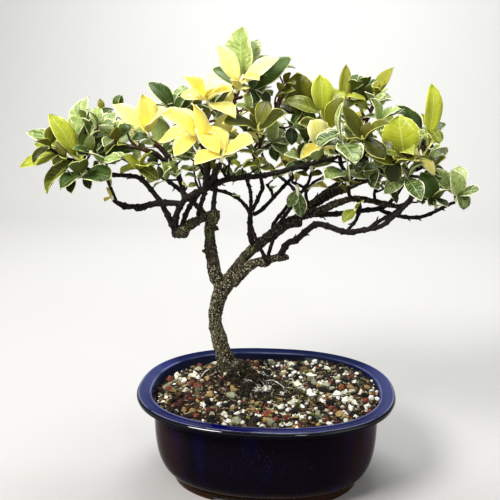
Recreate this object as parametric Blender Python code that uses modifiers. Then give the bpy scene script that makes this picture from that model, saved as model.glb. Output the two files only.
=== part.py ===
"""A variegated jasmine grown as a bonsai, in an oval glazed pot.

Metres, +Z up. The origin is on the table under the middle of the plant's box. +X is the viewer's right
and +Y points away from the viewer. Branches and shoots are given by where they show in a 500 by 500
picture taken from in front, with how far each point lies behind the middle of the pot, so that a
route is read straight off the picture and then carried into real sizes by from_picture.
"""

import math
import random

import bmesh
import bpy
from mathutils import Matrix, Vector
from mathutils.bvhtree import BVHTree
from mathutils.geometry import delaunay_2d_cdt

MM = 0.001
GAP = 0.3 * MM
SMOOTH_UP_TO = math.radians(50)

# The picture's camera: how it stands to its target, a point on the ground near the pot's middle.
TARGET_X = 9.5 * MM
TARGET_Y = -13 * MM
FOCAL_PIXELS = 695.0
PICTURE_MIDDLE = 250.0
CAMERA_HEIGHT = 306 * MM
CAMERA_AWAY = 518 * MM
CAMERA_LEFT = 11.3 * MM
CAMERA_TILT = math.radians(12.96)
CAMERA_TURN = math.radians(5.0)

# Pot
POT_X = 10.5 * MM
POT_Y = -9 * MM
POT_HEIGHT = 75 * MM
PLAN_POWER = 2.3
RIM_HALF_LENGTH = 103 * MM
OPENING_HALF_LENGTH = 91.5 * MM
OPENING_HEIGHT = POT_HEIGHT - 1.5 * MM
FLARE_FROM = 64 * MM
RIM_THICK = 5 * MM
BODY_HALF_LENGTH = 89.5 * MM
FOOT_HALF_LENGTH = 77 * MM
HALF_DEPTH_LESS = 20 * MM
WALL = 4.5 * MM
FOOT_HEIGHT = 8.5 * MM
FLOOR_TOP = 14 * MM
POT_STEPS = 38
BODY_TOP = POT_HEIGHT - 11 * MM
BELLY_FULLNESS = 4
BELLY_CURVE = 1.6
FOOT_RING_INSIDE = FOOT_HALF_LENGTH - 8 * MM
BELLY_POINTS = 3
ARCH_HEIGHT = 6 * MM
FRONT_ARCH = 74 * MM
END_ARCH = 36 * MM
DRAIN_HOLE = 14 * MM
DRAIN_OUT = 38 * MM
DRAIN_SIDES = 20
# How far in from the upright inner wall, and up from the floor, the inside's rounded corner passes.
INNER_CORNER = ((14 * MM, 0), (3 * MM, 8 * MM), (0, 25 * MM))

# Drain mesh
MESH_SIDE = 26 * MM
MESH_THICK = 1.2 * MM
MESH_HOLES = 2

# Soil
SOIL_AT_WALL = 68 * MM
SOIL_RISE_RIGHT = 4 * MM
MOUND = 11 * MM
MOUND_WIDE = 25 * MM
SOIL_CLEAR = 0.8 * MM
SOIL_SLACK = 1.5 * MM
POCKET_CLEAR = 0.45
GRAIN_SEED = 21
GRAIN_TRIES = 6000
GRAIN_SIZES = (5.6 * MM, 8.4 * MM)
GRAINS_APART = 12.5 * MM
GRAIN_OFF_WOOD = 12 * MM
# The rings of points that a grain is raised from: corners, radius and height above the soil in grain sizes.
GRAIN_RINGS = ((5, 0.5, 0.0), (3, 0.28, 0.42))
LUMPS_APART = 8 * MM
LUMP_OFF_GRAIN = 6.5 * MM
LUMP_HEIGHT = 1.2 * MM

# Leaf
BLADE_THICK = 0.7 * MM
CLEAR_OF_OTHERS = 0.8 * MM
THICK_OF_CLEARANCE = 2.2 * MM
OWN_FROM = 0.18
SHOOT_THICK = 2.2 * MM
SHOOT_SLIDES = 30
TWIG_STEPS = 2
SHORT_TWIG = 14 * MM
TWIG_END = 1.5 * MM
TWIG_THICK = (2.8, 2.0)
FOLDED_FROM = 14
FOLDS = (0.12, 0.4)
ARCHES = (0.02, 0.09)
REAR_LENGTHS = (23 * MM, 31 * MM)
REAR_WIDTHS = (0.44, 0.58)
REAR_PITCHES = (48, 72)
OUTLINE_ROWS = (0.0, 0.38, 0.77, 1.0)
OUTLINE_WIDER = 1.12
ROOT_OUT = 0.25 * MM


def scene_cleared():
    for thing in list(bpy.data.objects):
        bpy.data.objects.remove(thing)


def collection_named(name):
    made = bpy.data.collections.new(name)
    bpy.context.scene.collection.children.link(made)
    return made


def material_named(name, colour, roughness, metallic=0.0):
    made = bpy.data.materials.new(name)
    made.use_nodes = True
    shader = made.node_tree.nodes["Principled BSDF"]
    shader.inputs["Base Color"].default_value = (*colour, 1)
    shader.inputs["Roughness"].default_value = roughness
    shader.inputs["Metallic"].default_value = metallic
    made.diffuse_color = (*colour, 1)
    return made


scene_cleared()
PLANT = collection_named("potted_jasmine")
HELPERS = collection_named("cutters")

GLAZE = material_named("cobalt glaze", (0.01, 0.012, 0.12), 0.12)
NETTING = material_named("drain netting", (0.02, 0.02, 0.02), 0.5)
GRIT = material_named("bonsai grit", (0.16, 0.11, 0.075), 0.9)
BARK = material_named("bark", (0.075, 0.055, 0.04), 0.85)
LEAVES = {
    "yellow": material_named("yellow leaf", (0.85, 0.72, 0.14), 0.45),
    "lime": material_named("lime leaf", (0.42, 0.5, 0.05), 0.45),
    "olive": material_named("olive leaf", (0.2, 0.21, 0.025), 0.5),
    "green": material_named("dark green leaf", (0.03, 0.08, 0.02), 0.4),
    "variegated": material_named("variegated leaf", (0.35, 0.48, 0.3), 0.45),
}


def object_of(mesh, name, material, collection=PLANT):
    made = bpy.data.objects.new(name, mesh)
    mesh.name = name
    mesh.materials.clear()
    if material:
        mesh.materials.append(material)
    collection.objects.link(made)
    return made


def object_from(shape, name, material, collection=PLANT):
    """Turns a finished bmesh into an object."""
    mesh = bpy.data.meshes.new(name)
    shape.to_mesh(mesh)
    shape.free()
    return object_of(mesh, name, material, collection)


def evaluated_mesh(thing):
    bpy.context.view_layer.update()
    graph = bpy.context.evaluated_depsgraph_get()
    return bpy.data.meshes.new_from_object(thing.evaluated_get(graph))


def made_solid(thing):
    """Bakes an object's modifiers into a plain mesh of the same name, with loose caps welded."""
    name, material, collection = thing.name, thing.active_material, thing.users_collection[0]
    mesh = evaluated_mesh(thing)
    mesh.transform(thing.matrix_world)
    bpy.data.objects.remove(thing)
    shape = bmesh.new()
    shape.from_mesh(mesh)
    bmesh.ops.remove_doubles(shape, verts=shape.verts, dist=0.001 * MM)
    return object_from(shape, name, material, collection)


def joined(base, others, operation="UNION", solver="MANIFOLD"):
    """One Boolean of a whole collection of shapes on the base, baked, with the shapes then removed."""
    group = bpy.data.collections.new("operands")
    HELPERS.children.link(group)
    for other in others:
        for home in list(other.users_collection):
            home.objects.unlink(other)
        group.objects.link(other)
    boolean = base.modifiers.new("join", "BOOLEAN")
    boolean.operation = operation
    boolean.solver = solver
    boolean.operand_type = "COLLECTION"
    boolean.collection = group
    solid = made_solid(base)
    for other in list(group.objects):
        bpy.data.objects.remove(other)
    bpy.data.collections.remove(group)
    return solid


def cutter(shape, name):
    made = object_from(shape, name, None, HELPERS)
    made.hide_render = True
    made.display_type = "WIRE"
    return made


def block(size, centre):
    shape = bmesh.new()
    bmesh.ops.create_cube(shape, size=1)
    bmesh.ops.scale(shape, vec=size, verts=shape.verts)
    bmesh.ops.translate(shape, vec=centre, verts=shape.verts)
    return shape


def drum(radius, height, centre, sides):
    shape = bmesh.new()
    bmesh.ops.create_cone(
        shape, cap_ends=True, segments=sides, radius1=radius, radius2=radius, depth=height
    )
    bmesh.ops.translate(shape, vec=centre, verts=shape.verts)
    return shape


def from_picture(across, down, behind):
    """The point that shows at pixel (across, down) and lies so many mm behind the target."""
    right = (across - PICTURE_MIDDLE) / FOCAL_PIXELS
    drop = (down - PICTURE_MIDDLE) / FOCAL_PIXELS
    away = CAMERA_AWAY + behind * MM
    reach = away / (math.cos(CAMERA_TILT) - drop * math.sin(CAMERA_TILT))
    side = reach * right - CAMERA_LEFT
    height = CAMERA_HEIGHT - reach * (math.sin(CAMERA_TILT) + drop * math.cos(CAMERA_TILT))
    return Vector(
        (
            TARGET_X + side * math.cos(CAMERA_TURN) - behind * MM * math.sin(CAMERA_TURN),
            TARGET_Y + side * math.sin(CAMERA_TURN) + behind * MM * math.cos(CAMERA_TURN),
            height,
        )
    )


# Pot


def half_depth_share(half_length):
    """The oval is everywhere the same amount less deep than it is long."""
    half_length = max(half_length, FOOT_RING_INSIDE)
    return (half_length - HALF_DEPTH_LESS) / half_length


def on_plan(angle, half_length):
    """Where the pot's plan, a full-cornered oval of this half length, is met in a direction."""
    along, aside = math.cos(angle), math.sin(angle)
    fuller = (abs(along) ** PLAN_POWER + abs(aside) ** PLAN_POWER) ** (-1 / PLAN_POWER)
    return half_length * fuller * along, half_length * fuller * aside * half_depth_share(half_length)


def inner_half_length(height):
    """Half length of the inside near the top: upright, then flaring out to the opening."""
    flare = (OPENING_HALF_LENGTH - BODY_HALF_LENGTH + WALL) / (OPENING_HEIGHT - FLARE_FROM)
    return BODY_HALF_LENGTH - WALL + flare * max(height - FLARE_FROM, 0)


def belly(height):
    """Half length of the outside at a height, upright above and curving in to the foot."""
    down = (BODY_TOP - height) / (BODY_TOP - FOOT_HEIGHT)
    curve = (1 - min(down, 1) ** BELLY_FULLNESS) ** (1 / BELLY_CURVE)
    return FOOT_HALF_LENGTH + (BODY_HALF_LENGTH - FOOT_HALF_LENGTH) * curve


def pot_outline():
    """The turned outline, from the middle of the floor up the inside, over the rim and down to the foot."""
    inside = BODY_HALF_LENGTH - WALL
    rim_under = POT_HEIGHT - RIM_THICK
    points = [(0, FLOOR_TOP)]
    points += [(inside - inset, FLOOR_TOP + rise) for inset, rise in INNER_CORNER]
    points += [
        (inside, FLARE_FROM),
        (OPENING_HALF_LENGTH, OPENING_HEIGHT),
        (RIM_HALF_LENGTH - 8 * MM, POT_HEIGHT - 1.4 * MM),
        (RIM_HALF_LENGTH - 2.5 * MM, POT_HEIGHT),
        (RIM_HALF_LENGTH, POT_HEIGHT - 2 * MM),
        (RIM_HALF_LENGTH - 1.5 * MM, rim_under),
        (BODY_HALF_LENGTH + 1.5 * MM, rim_under - 2.5 * MM),
    ]
    for step in range(BELLY_POINTS + 1):
        height = FOOT_HEIGHT + (BODY_TOP - FOOT_HEIGHT) * (1 - (step / BELLY_POINTS) ** 0.6)
        points.append((belly(height), height))
    foot = FOOT_HALF_LENGTH
    points += [
        (foot - 1.4 * MM, FOOT_HEIGHT - 0.9 * MM),
        (foot, FOOT_HEIGHT - 1.8 * MM),
        (foot - 2 * MM, 0),
        (FOOT_RING_INSIDE, 0),
        (FOOT_RING_INSIDE - 1 * MM, FOOT_HEIGHT - 2 * MM),
        (0, FOOT_HEIGHT - 1.5 * MM),
    ]
    return points


def pot():
    outline = bmesh.new()
    corners = [outline.verts.new((x, 0, z)) for x, z in pot_outline()]
    for one, other in zip(corners, corners[1:]):
        outline.edges.new((one, other))
    turned = object_from(outline, "pot", GLAZE)
    screw = turned.modifiers.new("turn", "SCREW")
    screw.axis = "Z"
    screw.steps = POT_STEPS
    screw.render_steps = POT_STEPS
    screw.use_merge_vertices = True
    screw.merge_threshold = 0.0001
    turned = made_solid(turned)
    for corner in turned.data.vertices:
        angle, half_length = math.atan2(corner.co.y, corner.co.x), math.hypot(corner.co.x, corner.co.y)
        corner.co.x, corner.co.y = on_plan(angle, half_length)
    cutters = [
        arch_cutter(FRONT_ARCH, 0, "front_arches"),
        arch_cutter(END_ARCH, math.pi / 2, "end_arches"),
    ]
    for side in (-1, 1):
        hole = drum(DRAIN_HOLE / 2, FLOOR_TOP * 2, (side * DRAIN_OUT, 0, FLOOR_TOP), DRAIN_SIDES)
        cutters.append(cutter(hole, "drain_hole"))
    fired = joined(turned, cutters, "DIFFERENCE", "EXACT")
    fired.data.transform(Matrix.Translation((POT_X, POT_Y, 0)))
    return fired


def arch_cutter(width, turn, name):
    """A low arch with rounded shoulders, right through the foot ring."""
    shape = bmesh.new()
    bmesh.ops.create_cube(shape, size=1)
    bmesh.ops.scale(shape, vec=(width, 4 * FOOT_HALF_LENGTH, 2 * ARCH_HEIGHT), verts=shape.verts)
    shoulders = [
        edge for edge in shape.edges
        if all(v.co.z > 0 for v in edge.verts) and abs(edge.verts[0].co.y - edge.verts[1].co.y) > width
    ]
    bmesh.ops.bevel(
        shape, geom=shoulders, offset=ARCH_HEIGHT * 0.8, affect="EDGES", segments=3, profile=0.5,
        material=-1,
    )
    bmesh.ops.rotate(shape, verts=shape.verts, matrix=Matrix.Rotation(turn, 3, "Z"))
    return cutter(shape, name)


def drain_mesh(side, name):
    """A square pad of plastic netting over one drain hole."""
    middle = Vector((POT_X + side * DRAIN_OUT, POT_Y, FLOOR_TOP + GAP + MESH_THICK / 2))
    pad = object_from(block((MESH_SIDE, MESH_SIDE, MESH_THICK), middle), name, NETTING)
    pitch = MESH_SIDE / (MESH_HOLES + 0.4)
    holes = []
    for column in range(MESH_HOLES):
        for row in range(MESH_HOLES):
            out = Vector((column, row, 0)) - Vector((1, 1, 0)) * (MESH_HOLES - 1) / 2
            holes.append(
                cutter(block((pitch * 0.7, pitch * 0.7, 3 * MESH_THICK), middle + out * pitch), "mesh_hole")
            )
    return joined(pad, holes, "DIFFERENCE", "EXACT")


# Wood
# Each route is a list of points (across, down, mm behind the pot's middle, mm thick).

ROUTES = {
    "trunk": [
        (234, 386, 27, 19), (233, 376, 27, 20), (230.5, 368, 27, 18), (226, 360, 26.5, 14.6),
        (221.8, 348, 26, 12.8), (219, 337, 24, 13), (215.4, 323, 22, 10.8), (216, 309, 20, 11.4),
        (219.6, 296, 18, 12.6), (224, 284, 16, 14),
    ],
    "root_right": [(232, 368, 26, 13), (240, 366, 20, 10), (249, 372, 10, 6.5), (256, 381, 2, 4)],
    "root_front": [(231, 369, 24, 12), (232, 375, 17, 7), (237, 383, 7, 4)],
    "root_left": [(229, 367, 26, 11), (219, 367, 27, 7), (210, 371, 27, 4)],
    "left_trunk": [
        (222.5, 286, 16, 12.5), (215.6, 275, 14.5, 11), (212.8, 262, 12.5, 9.9), (210.5, 245, 9.5, 8.6),
        (209.8, 229, 6, 8.2), (212.5, 219, 4, 9.2),
    ],
    "stump_cut": [
        (206, 222, 3, 6), (211, 217.5, 4, 10), (215, 215.5, 5, 11), (218.5, 214.8, 5, 8.4),
        (220, 214.5, 5, 5),
    ],
    "stump_nub": [(209, 231, 5, 5), (219, 228, 4, 3)],
    "left_nub": [(209, 250, 9, 5), (202.5, 252, 9, 3)],
    "left_arm": [
        (212, 221, 3, 7), (206, 217.5, 1, 6.6), (196, 221.5, -3, 7), (187, 227, -6, 8.5),
        (180, 231.5, -8, 10.6), (174, 233, -9, 8), (171.5, 233.5, -9, 4.6),
    ],
    "knuckle_cut": [(183, 229, -7, 8), (184, 233, -9, 9), (184, 236, -9, 7.4), (184, 238, -9, 4)],
    "to_far_left": [
        (176, 232, -9, 6), (165.5, 211, -12, 4.6), (157, 197, -14, 4.2), (141, 179, -16, 3.8),
        (130, 176, -17, 3.6), (108, 174.5, -19, 3.2), (95, 172, -20, 2.9), (84, 167, -20, 2.6),
    ],
    "outer_arch": [
        (175, 230, -9, 5.4), (176.5, 215, -13, 5), (183, 202, -19, 4.8), (192.5, 194.5, -24, 4.6),
        (209, 187.5, -28, 4.6), (227, 179.5, -31, 4.4), (263, 175.5, -34, 3.9), (287, 170, -33, 3.7),
        (325, 160, -30, 3),
    ],
    "inner_arch": [(181, 229, -6, 4.4), (186, 214, -9, 4.1), (192.5, 202, -16, 3.8), (201, 191, -26, 3.6)],
    "stump_riser": [(200, 219, 0, 4), (198.5, 213, -3, 3.8), (202, 201, -13, 3.7), (206, 189, -27, 3.5)],
    "knobby_left": [
        (182, 203.5, -18, 4.2), (161, 203, -16, 5.4), (149, 205, -13, 4.4), (140, 207.5, -11, 5.8),
        (133, 206.6, -9, 4), (124.5, 206, -7, 5.2), (114, 201, -5, 3.2),
    ],
    "knobby_twig": [(117, 203, -6, 2.4), (114, 195, -6, 2.2), (110.5, 187, -8, 2.1), (105, 176, -17, 2)],
    "to_yellow_left": [
        (184.5, 199, -20, 4.2), (181.5, 184, -12, 4.1), (176, 171, -5, 4.6), (168.5, 158, 0, 4.3),
        (162, 149.5, 3, 4.7), (155.5, 144, 4, 3.8), (150.5, 140, 5, 3),
    ],
    "to_left_middle": [
        (176, 171, -5, 4.2), (164, 160.5, -11, 3.9), (153, 152.5, -13, 3.6), (139, 148.5, -14, 2.9),
    ],
    "to_green_pair": [(178, 173, -6, 2.6), (174, 159, 4, 2.4), (174, 143, 16, 2.3), (176, 126, 27, 2.1)],
    "to_yellow_front": [
        (205, 189, -28, 4.6), (206.5, 177, -35, 4.8), (207.5, 165, -43, 4.7), (206, 153, -50, 3.4),
        (201, 145, -54, 2.6),
    ],
    "to_pale_front": [
        (208, 184.5, -28, 4), (213.5, 175.5, -38, 4.2), (218.5, 167.5, -50, 3.8), (220, 163.5, -56, 2.8),
    ],
    "right_main": [
        (224, 288, 16, 13), (229, 280.5, 15, 12), (236.5, 269.5, 12, 10), (244.5, 257.5, 9, 8.2),
        (253.5, 248.5, 6, 8.4), (263, 241, 3, 8.2), (285, 225, -2, 9.2), (293, 222, -3, 9.4),
        (302, 221.5, -4, 7.8),
    ],
    "right_riser": [
        (286, 226, -2, 7.2), (303, 213, 4, 7), (316, 203, 8, 7), (330, 194, 10, 7),
        (348, 186.5, 12, 7.2), (368, 176, 15, 5.4), (374, 165, 17, 4),
    ],
    "right_second": [
        (299, 217, 3, 6.6), (317, 211.5, -3, 6.2), (345, 200.5, -10, 5.2), (358, 198.5, -13, 5),
        (383, 203.5, -17, 4.2), (398, 206.5, -17, 3.6), (409, 201.5, -15, 3.2), (417, 190, -10, 2.8),
    ],
    "low_right": [
        (232, 283, 14, 9.5), (240.5, 274, 9, 9), (248.5, 266.8, 4, 7.6), (257, 262, -2, 6.8),
        (265, 261.6, -6, 8.4), (270.5, 259.5, -8, 6.4), (277, 258, -10, 5.6), (284, 257.5, -12, 5.4),
        (287, 257, -12.6, 5.6), (289, 256.8, -13, 3.4),
    ],
    "low_rise": [
        (279, 258, -10, 5.8), (287.5, 243.5, -14, 5.1), (296, 240, -18, 5.1), (312, 226.5, -24, 4.9),
        (322, 224.6, -28, 4.7), (345, 232, -35, 4.3), (361, 230.5, -38, 4), (381, 226, -41, 3.6),
        (393, 217, -41, 3.3), (405, 206, -39, 3), (411, 196, -36, 2.7),
    ],
    "low_twin": [(368, 229, -39, 3), (381, 220, -33, 2.9), (392, 214.5, -26, 2.8), (400, 207.5, -18, 2.7)],
    "right_third": [
        (311, 214.5, -1, 4.8), (335, 214, 0, 4.4), (361, 210.6, 0, 4), (381, 208, -1, 3.8),
        (393, 199, 3, 3.2), (409, 176, 12, 2.5),
    ],
    "far_right_run": [
        (378, 208, -1, 3.6), (386, 212.5, -4, 3.5), (402, 216.5, -7, 3.3), (417, 217.5, -9, 3.2),
        (430, 214, -10, 3), (443, 207.5, -10, 2.8), (452, 203, -10, 2.6),
    ],
    "knot_drop": [(358, 199, -13, 3.4), (359.5, 208, -20, 3), (356, 220, -29, 2.7), (347, 231, -35, 2.8)],
    "knot_up_left": [(352, 186, 12, 4), (346, 174, 8, 3.4), (341, 164, -4, 3), (340, 155, -20, 2.6)],
    "knot_up_mid": [(362, 183, 13, 4.2), (361, 172, 8, 3.6), (364, 162, -6, 3), (364, 155, -22, 2.7)],
    "knot_up_right": [(368, 178, 14, 4), (384, 172, 8, 3.4), (394, 170, -4, 3), (401, 170, -15, 2.6)],
    "knot_up_back": [(370, 173, 15, 3.6), (366, 155, 20, 3.2), (364, 135, 22, 2.9), (367, 120, 21, 2.6)],
    "middle_stem": [(254, 246, 5, 5), (250.5, 237, 1, 4.4), (250, 224, -4, 4.2), (250.5, 213, -8, 4)],
    "middle_left": [
        (250.5, 215, -8, 3.2), (247, 208, -10, 3), (240, 200, -13, 2.9), (229, 193.5, -18, 2.9),
        (217, 190, -24, 2.8), (208, 188, -28, 2.8),
    ],
    "middle_up": [(250.5, 214, -8, 3), (251, 200, -12, 2.8), (250, 190, -19, 2.7), (246, 178, -32, 2.6)],
    "top_stem": [
        (252, 211, -8, 3.2), (260, 194, -2, 3.1), (262, 183, 2, 3.1), (250, 143, 3, 3),
        (235.5, 108, -3, 2.8), (236, 97, -5, 2.6),
    ],
    "middle_right": [
        (253, 214.5, -7, 3.6), (263, 208.5, -4, 3.4), (291, 179, 2, 2.9), (303, 172, 5, 2.8),
        (315, 160, 8, 2.6), (320, 140, 8, 2.4),
    ],
    "hook": [(273, 199, -3, 2.6), (271.5, 191, -9, 2.4), (266.5, 184.5, -14, 2.1)],
    "crossing": [
        (250, 222, -4, 3), (253.5, 233, -13, 3), (259.5, 246, -16, 3), (264, 256, -13, 3.2),
        (266, 262, -7, 3.4),
    ],
    "short_link": [(268, 257, -7, 3.2), (271.5, 244, -6, 3), (274, 233, -1, 2.8)],
    "back_link": [
        (273, 232, 0, 3.4), (275, 222, 6, 3.2), (293, 198, 17, 3), (292, 187, 24, 2.7),
        (272, 170, 48, 2.5), (262, 155, 60, 2.4),
    ],
    "front_link": [(278, 229, 0, 3.4), (283, 218, -7, 3.1), (290, 209, -11, 2.9), (299, 195, -15, 2.6)],
    "high_twig": [(308, 210, 6, 3), (306, 196, 2, 2.8), (304, 188, 0, 2.6), (292, 182, -3, 2.4)],
    "high_twin": [(306, 192, 1, 2.6), (313, 183, 4, 2.4), (322, 178, 6, 2.4), (331, 174, 2, 2.3)],
    "olive_stem": [(254, 157, 3, 2.6), (260, 146, -12, 2.4), (260, 139, -24, 2.2)],
    "top_fork": [(253, 150, 4, 2.6), (264, 135, 6, 2.3), (271, 125, 7, 2.2), (276, 114, 8, 2)],
    "rear_left": [
        (207, 217, 6, 5), (196, 205, 22, 4.4), (180, 190, 38, 3.8), (160, 176, 52, 3.3),
        (140, 168, 60, 2.9), (122, 158, 62, 2.6),
    ],
    "rear_middle": [
        (213, 217, 8, 4.6), (214, 200, 26, 4), (216, 180, 44, 3.5), (212, 162, 58, 3), (205, 148, 66, 2.6),
    ],
    "rear_right": [
        (300, 216, 6, 5.4), (312, 203, 24, 4.6), (328, 190, 42, 4), (346, 178, 56, 3.5),
        (366, 168, 64, 3), (386, 160, 68, 2.6),
    ],
    "rear_far_right": [(330, 193, 14, 4.6), (354, 185, 30, 3.8), (380, 176, 42, 3.2), (404, 166, 48, 2.7)],
}
THICK_ROUTES = ("trunk", "left_trunk", "right_main", "low_right")
GROUND_ROUTES = ("trunk", "root_right", "root_front", "root_left")


def branch(name, points, thicknesses, sides):
    """A tapering branch: a round bevelled curve as thick at each point as given, made a closed mesh."""
    curve = bpy.data.curves.new(name, "CURVE")
    curve.dimensions = "3D"
    curve.bevel_depth = MM / 2
    curve.bevel_resolution = sides // 2 - 2
    curve.use_fill_caps = True
    spline = curve.splines.new("POLY")
    spline.points.add(len(points) - 1)
    for control, place, thick in zip(spline.points, points, thicknesses):
        control.co = (*place, 1)
        control.radius = thick
    made = bpy.data.objects.new(name, curve)
    curve.materials.append(BARK)
    PLANT.objects.link(made)
    return made_solid(made)


def route_branch(name, thicker=0.0):
    """One of the routes as a branch, or a little thicker all over as the cutter of its hole."""
    points = [from_picture(*point[:3]) for point in ROUTES[name]]
    thicknesses = [point[3] + 2 * thicker for point in ROUTES[name]]
    if thicker:
        points[0] += (points[0] - points[1]).normalized() * thicker * MM
        points[-1] += (points[-1] - points[-2]).normalized() * thicker * MM
    thickest = max(thicknesses)
    sides = 8 if name in THICK_ROUTES else 6 if thickest > 7.2 else 4
    return branch(name, points, thicknesses, sides)


def twig_points(start, start_way, end, end_way):
    """A smooth twig that leaves the wood one way and reaches the shoot in the shoot's own direction."""
    length = (end - start).length
    near = start + start_way * length * 0.3
    far = end - end_way * length * 0.35
    points = []
    for step in range(TWIG_STEPS + 1):
        t = step / TWIG_STEPS
        s = 1 - t
        points.append(start * s ** 3 + near * 3 * s * s * t + far * 3 * s * t * t + end * t ** 3)
    return points


def nearest_wood(place):
    """The point on the routes that a twig to this place would grow from, and the way the wood runs."""
    best = None
    for name, route in ROUTES.items():
        if name in GROUND_ROUTES or name.endswith(("nub", "cut")):
            continue
        line = [from_picture(*point[:3]) for point in route]
        for number, (one, other) in enumerate(zip(line, line[1:])):
            span = other - one
            share = min(max((place - one).dot(span) / span.length_squared, 0.0), 1.0)
            foot = one + span * share
            distance = (place - foot).length
            too_high = max(foot.z - place.z, 0) * 2
            if best is None or distance + too_high < best[0]:
                best = (distance + too_high, foot, span.normalized())
    return best[1], best[2]


# Sprays
# Each is a name, a colour, the foot and the head of its shoot as (across, down, mm behind the middle),
# and its leaves as (tip across, tip down, mm long, mm wide, lean), where lean 1 points away from the
# viewer and -1 towards, as far as the leaf is longer than it shows. Rear says how many more leaves
# the shoot has on the side that the viewer doesn't see.

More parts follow.
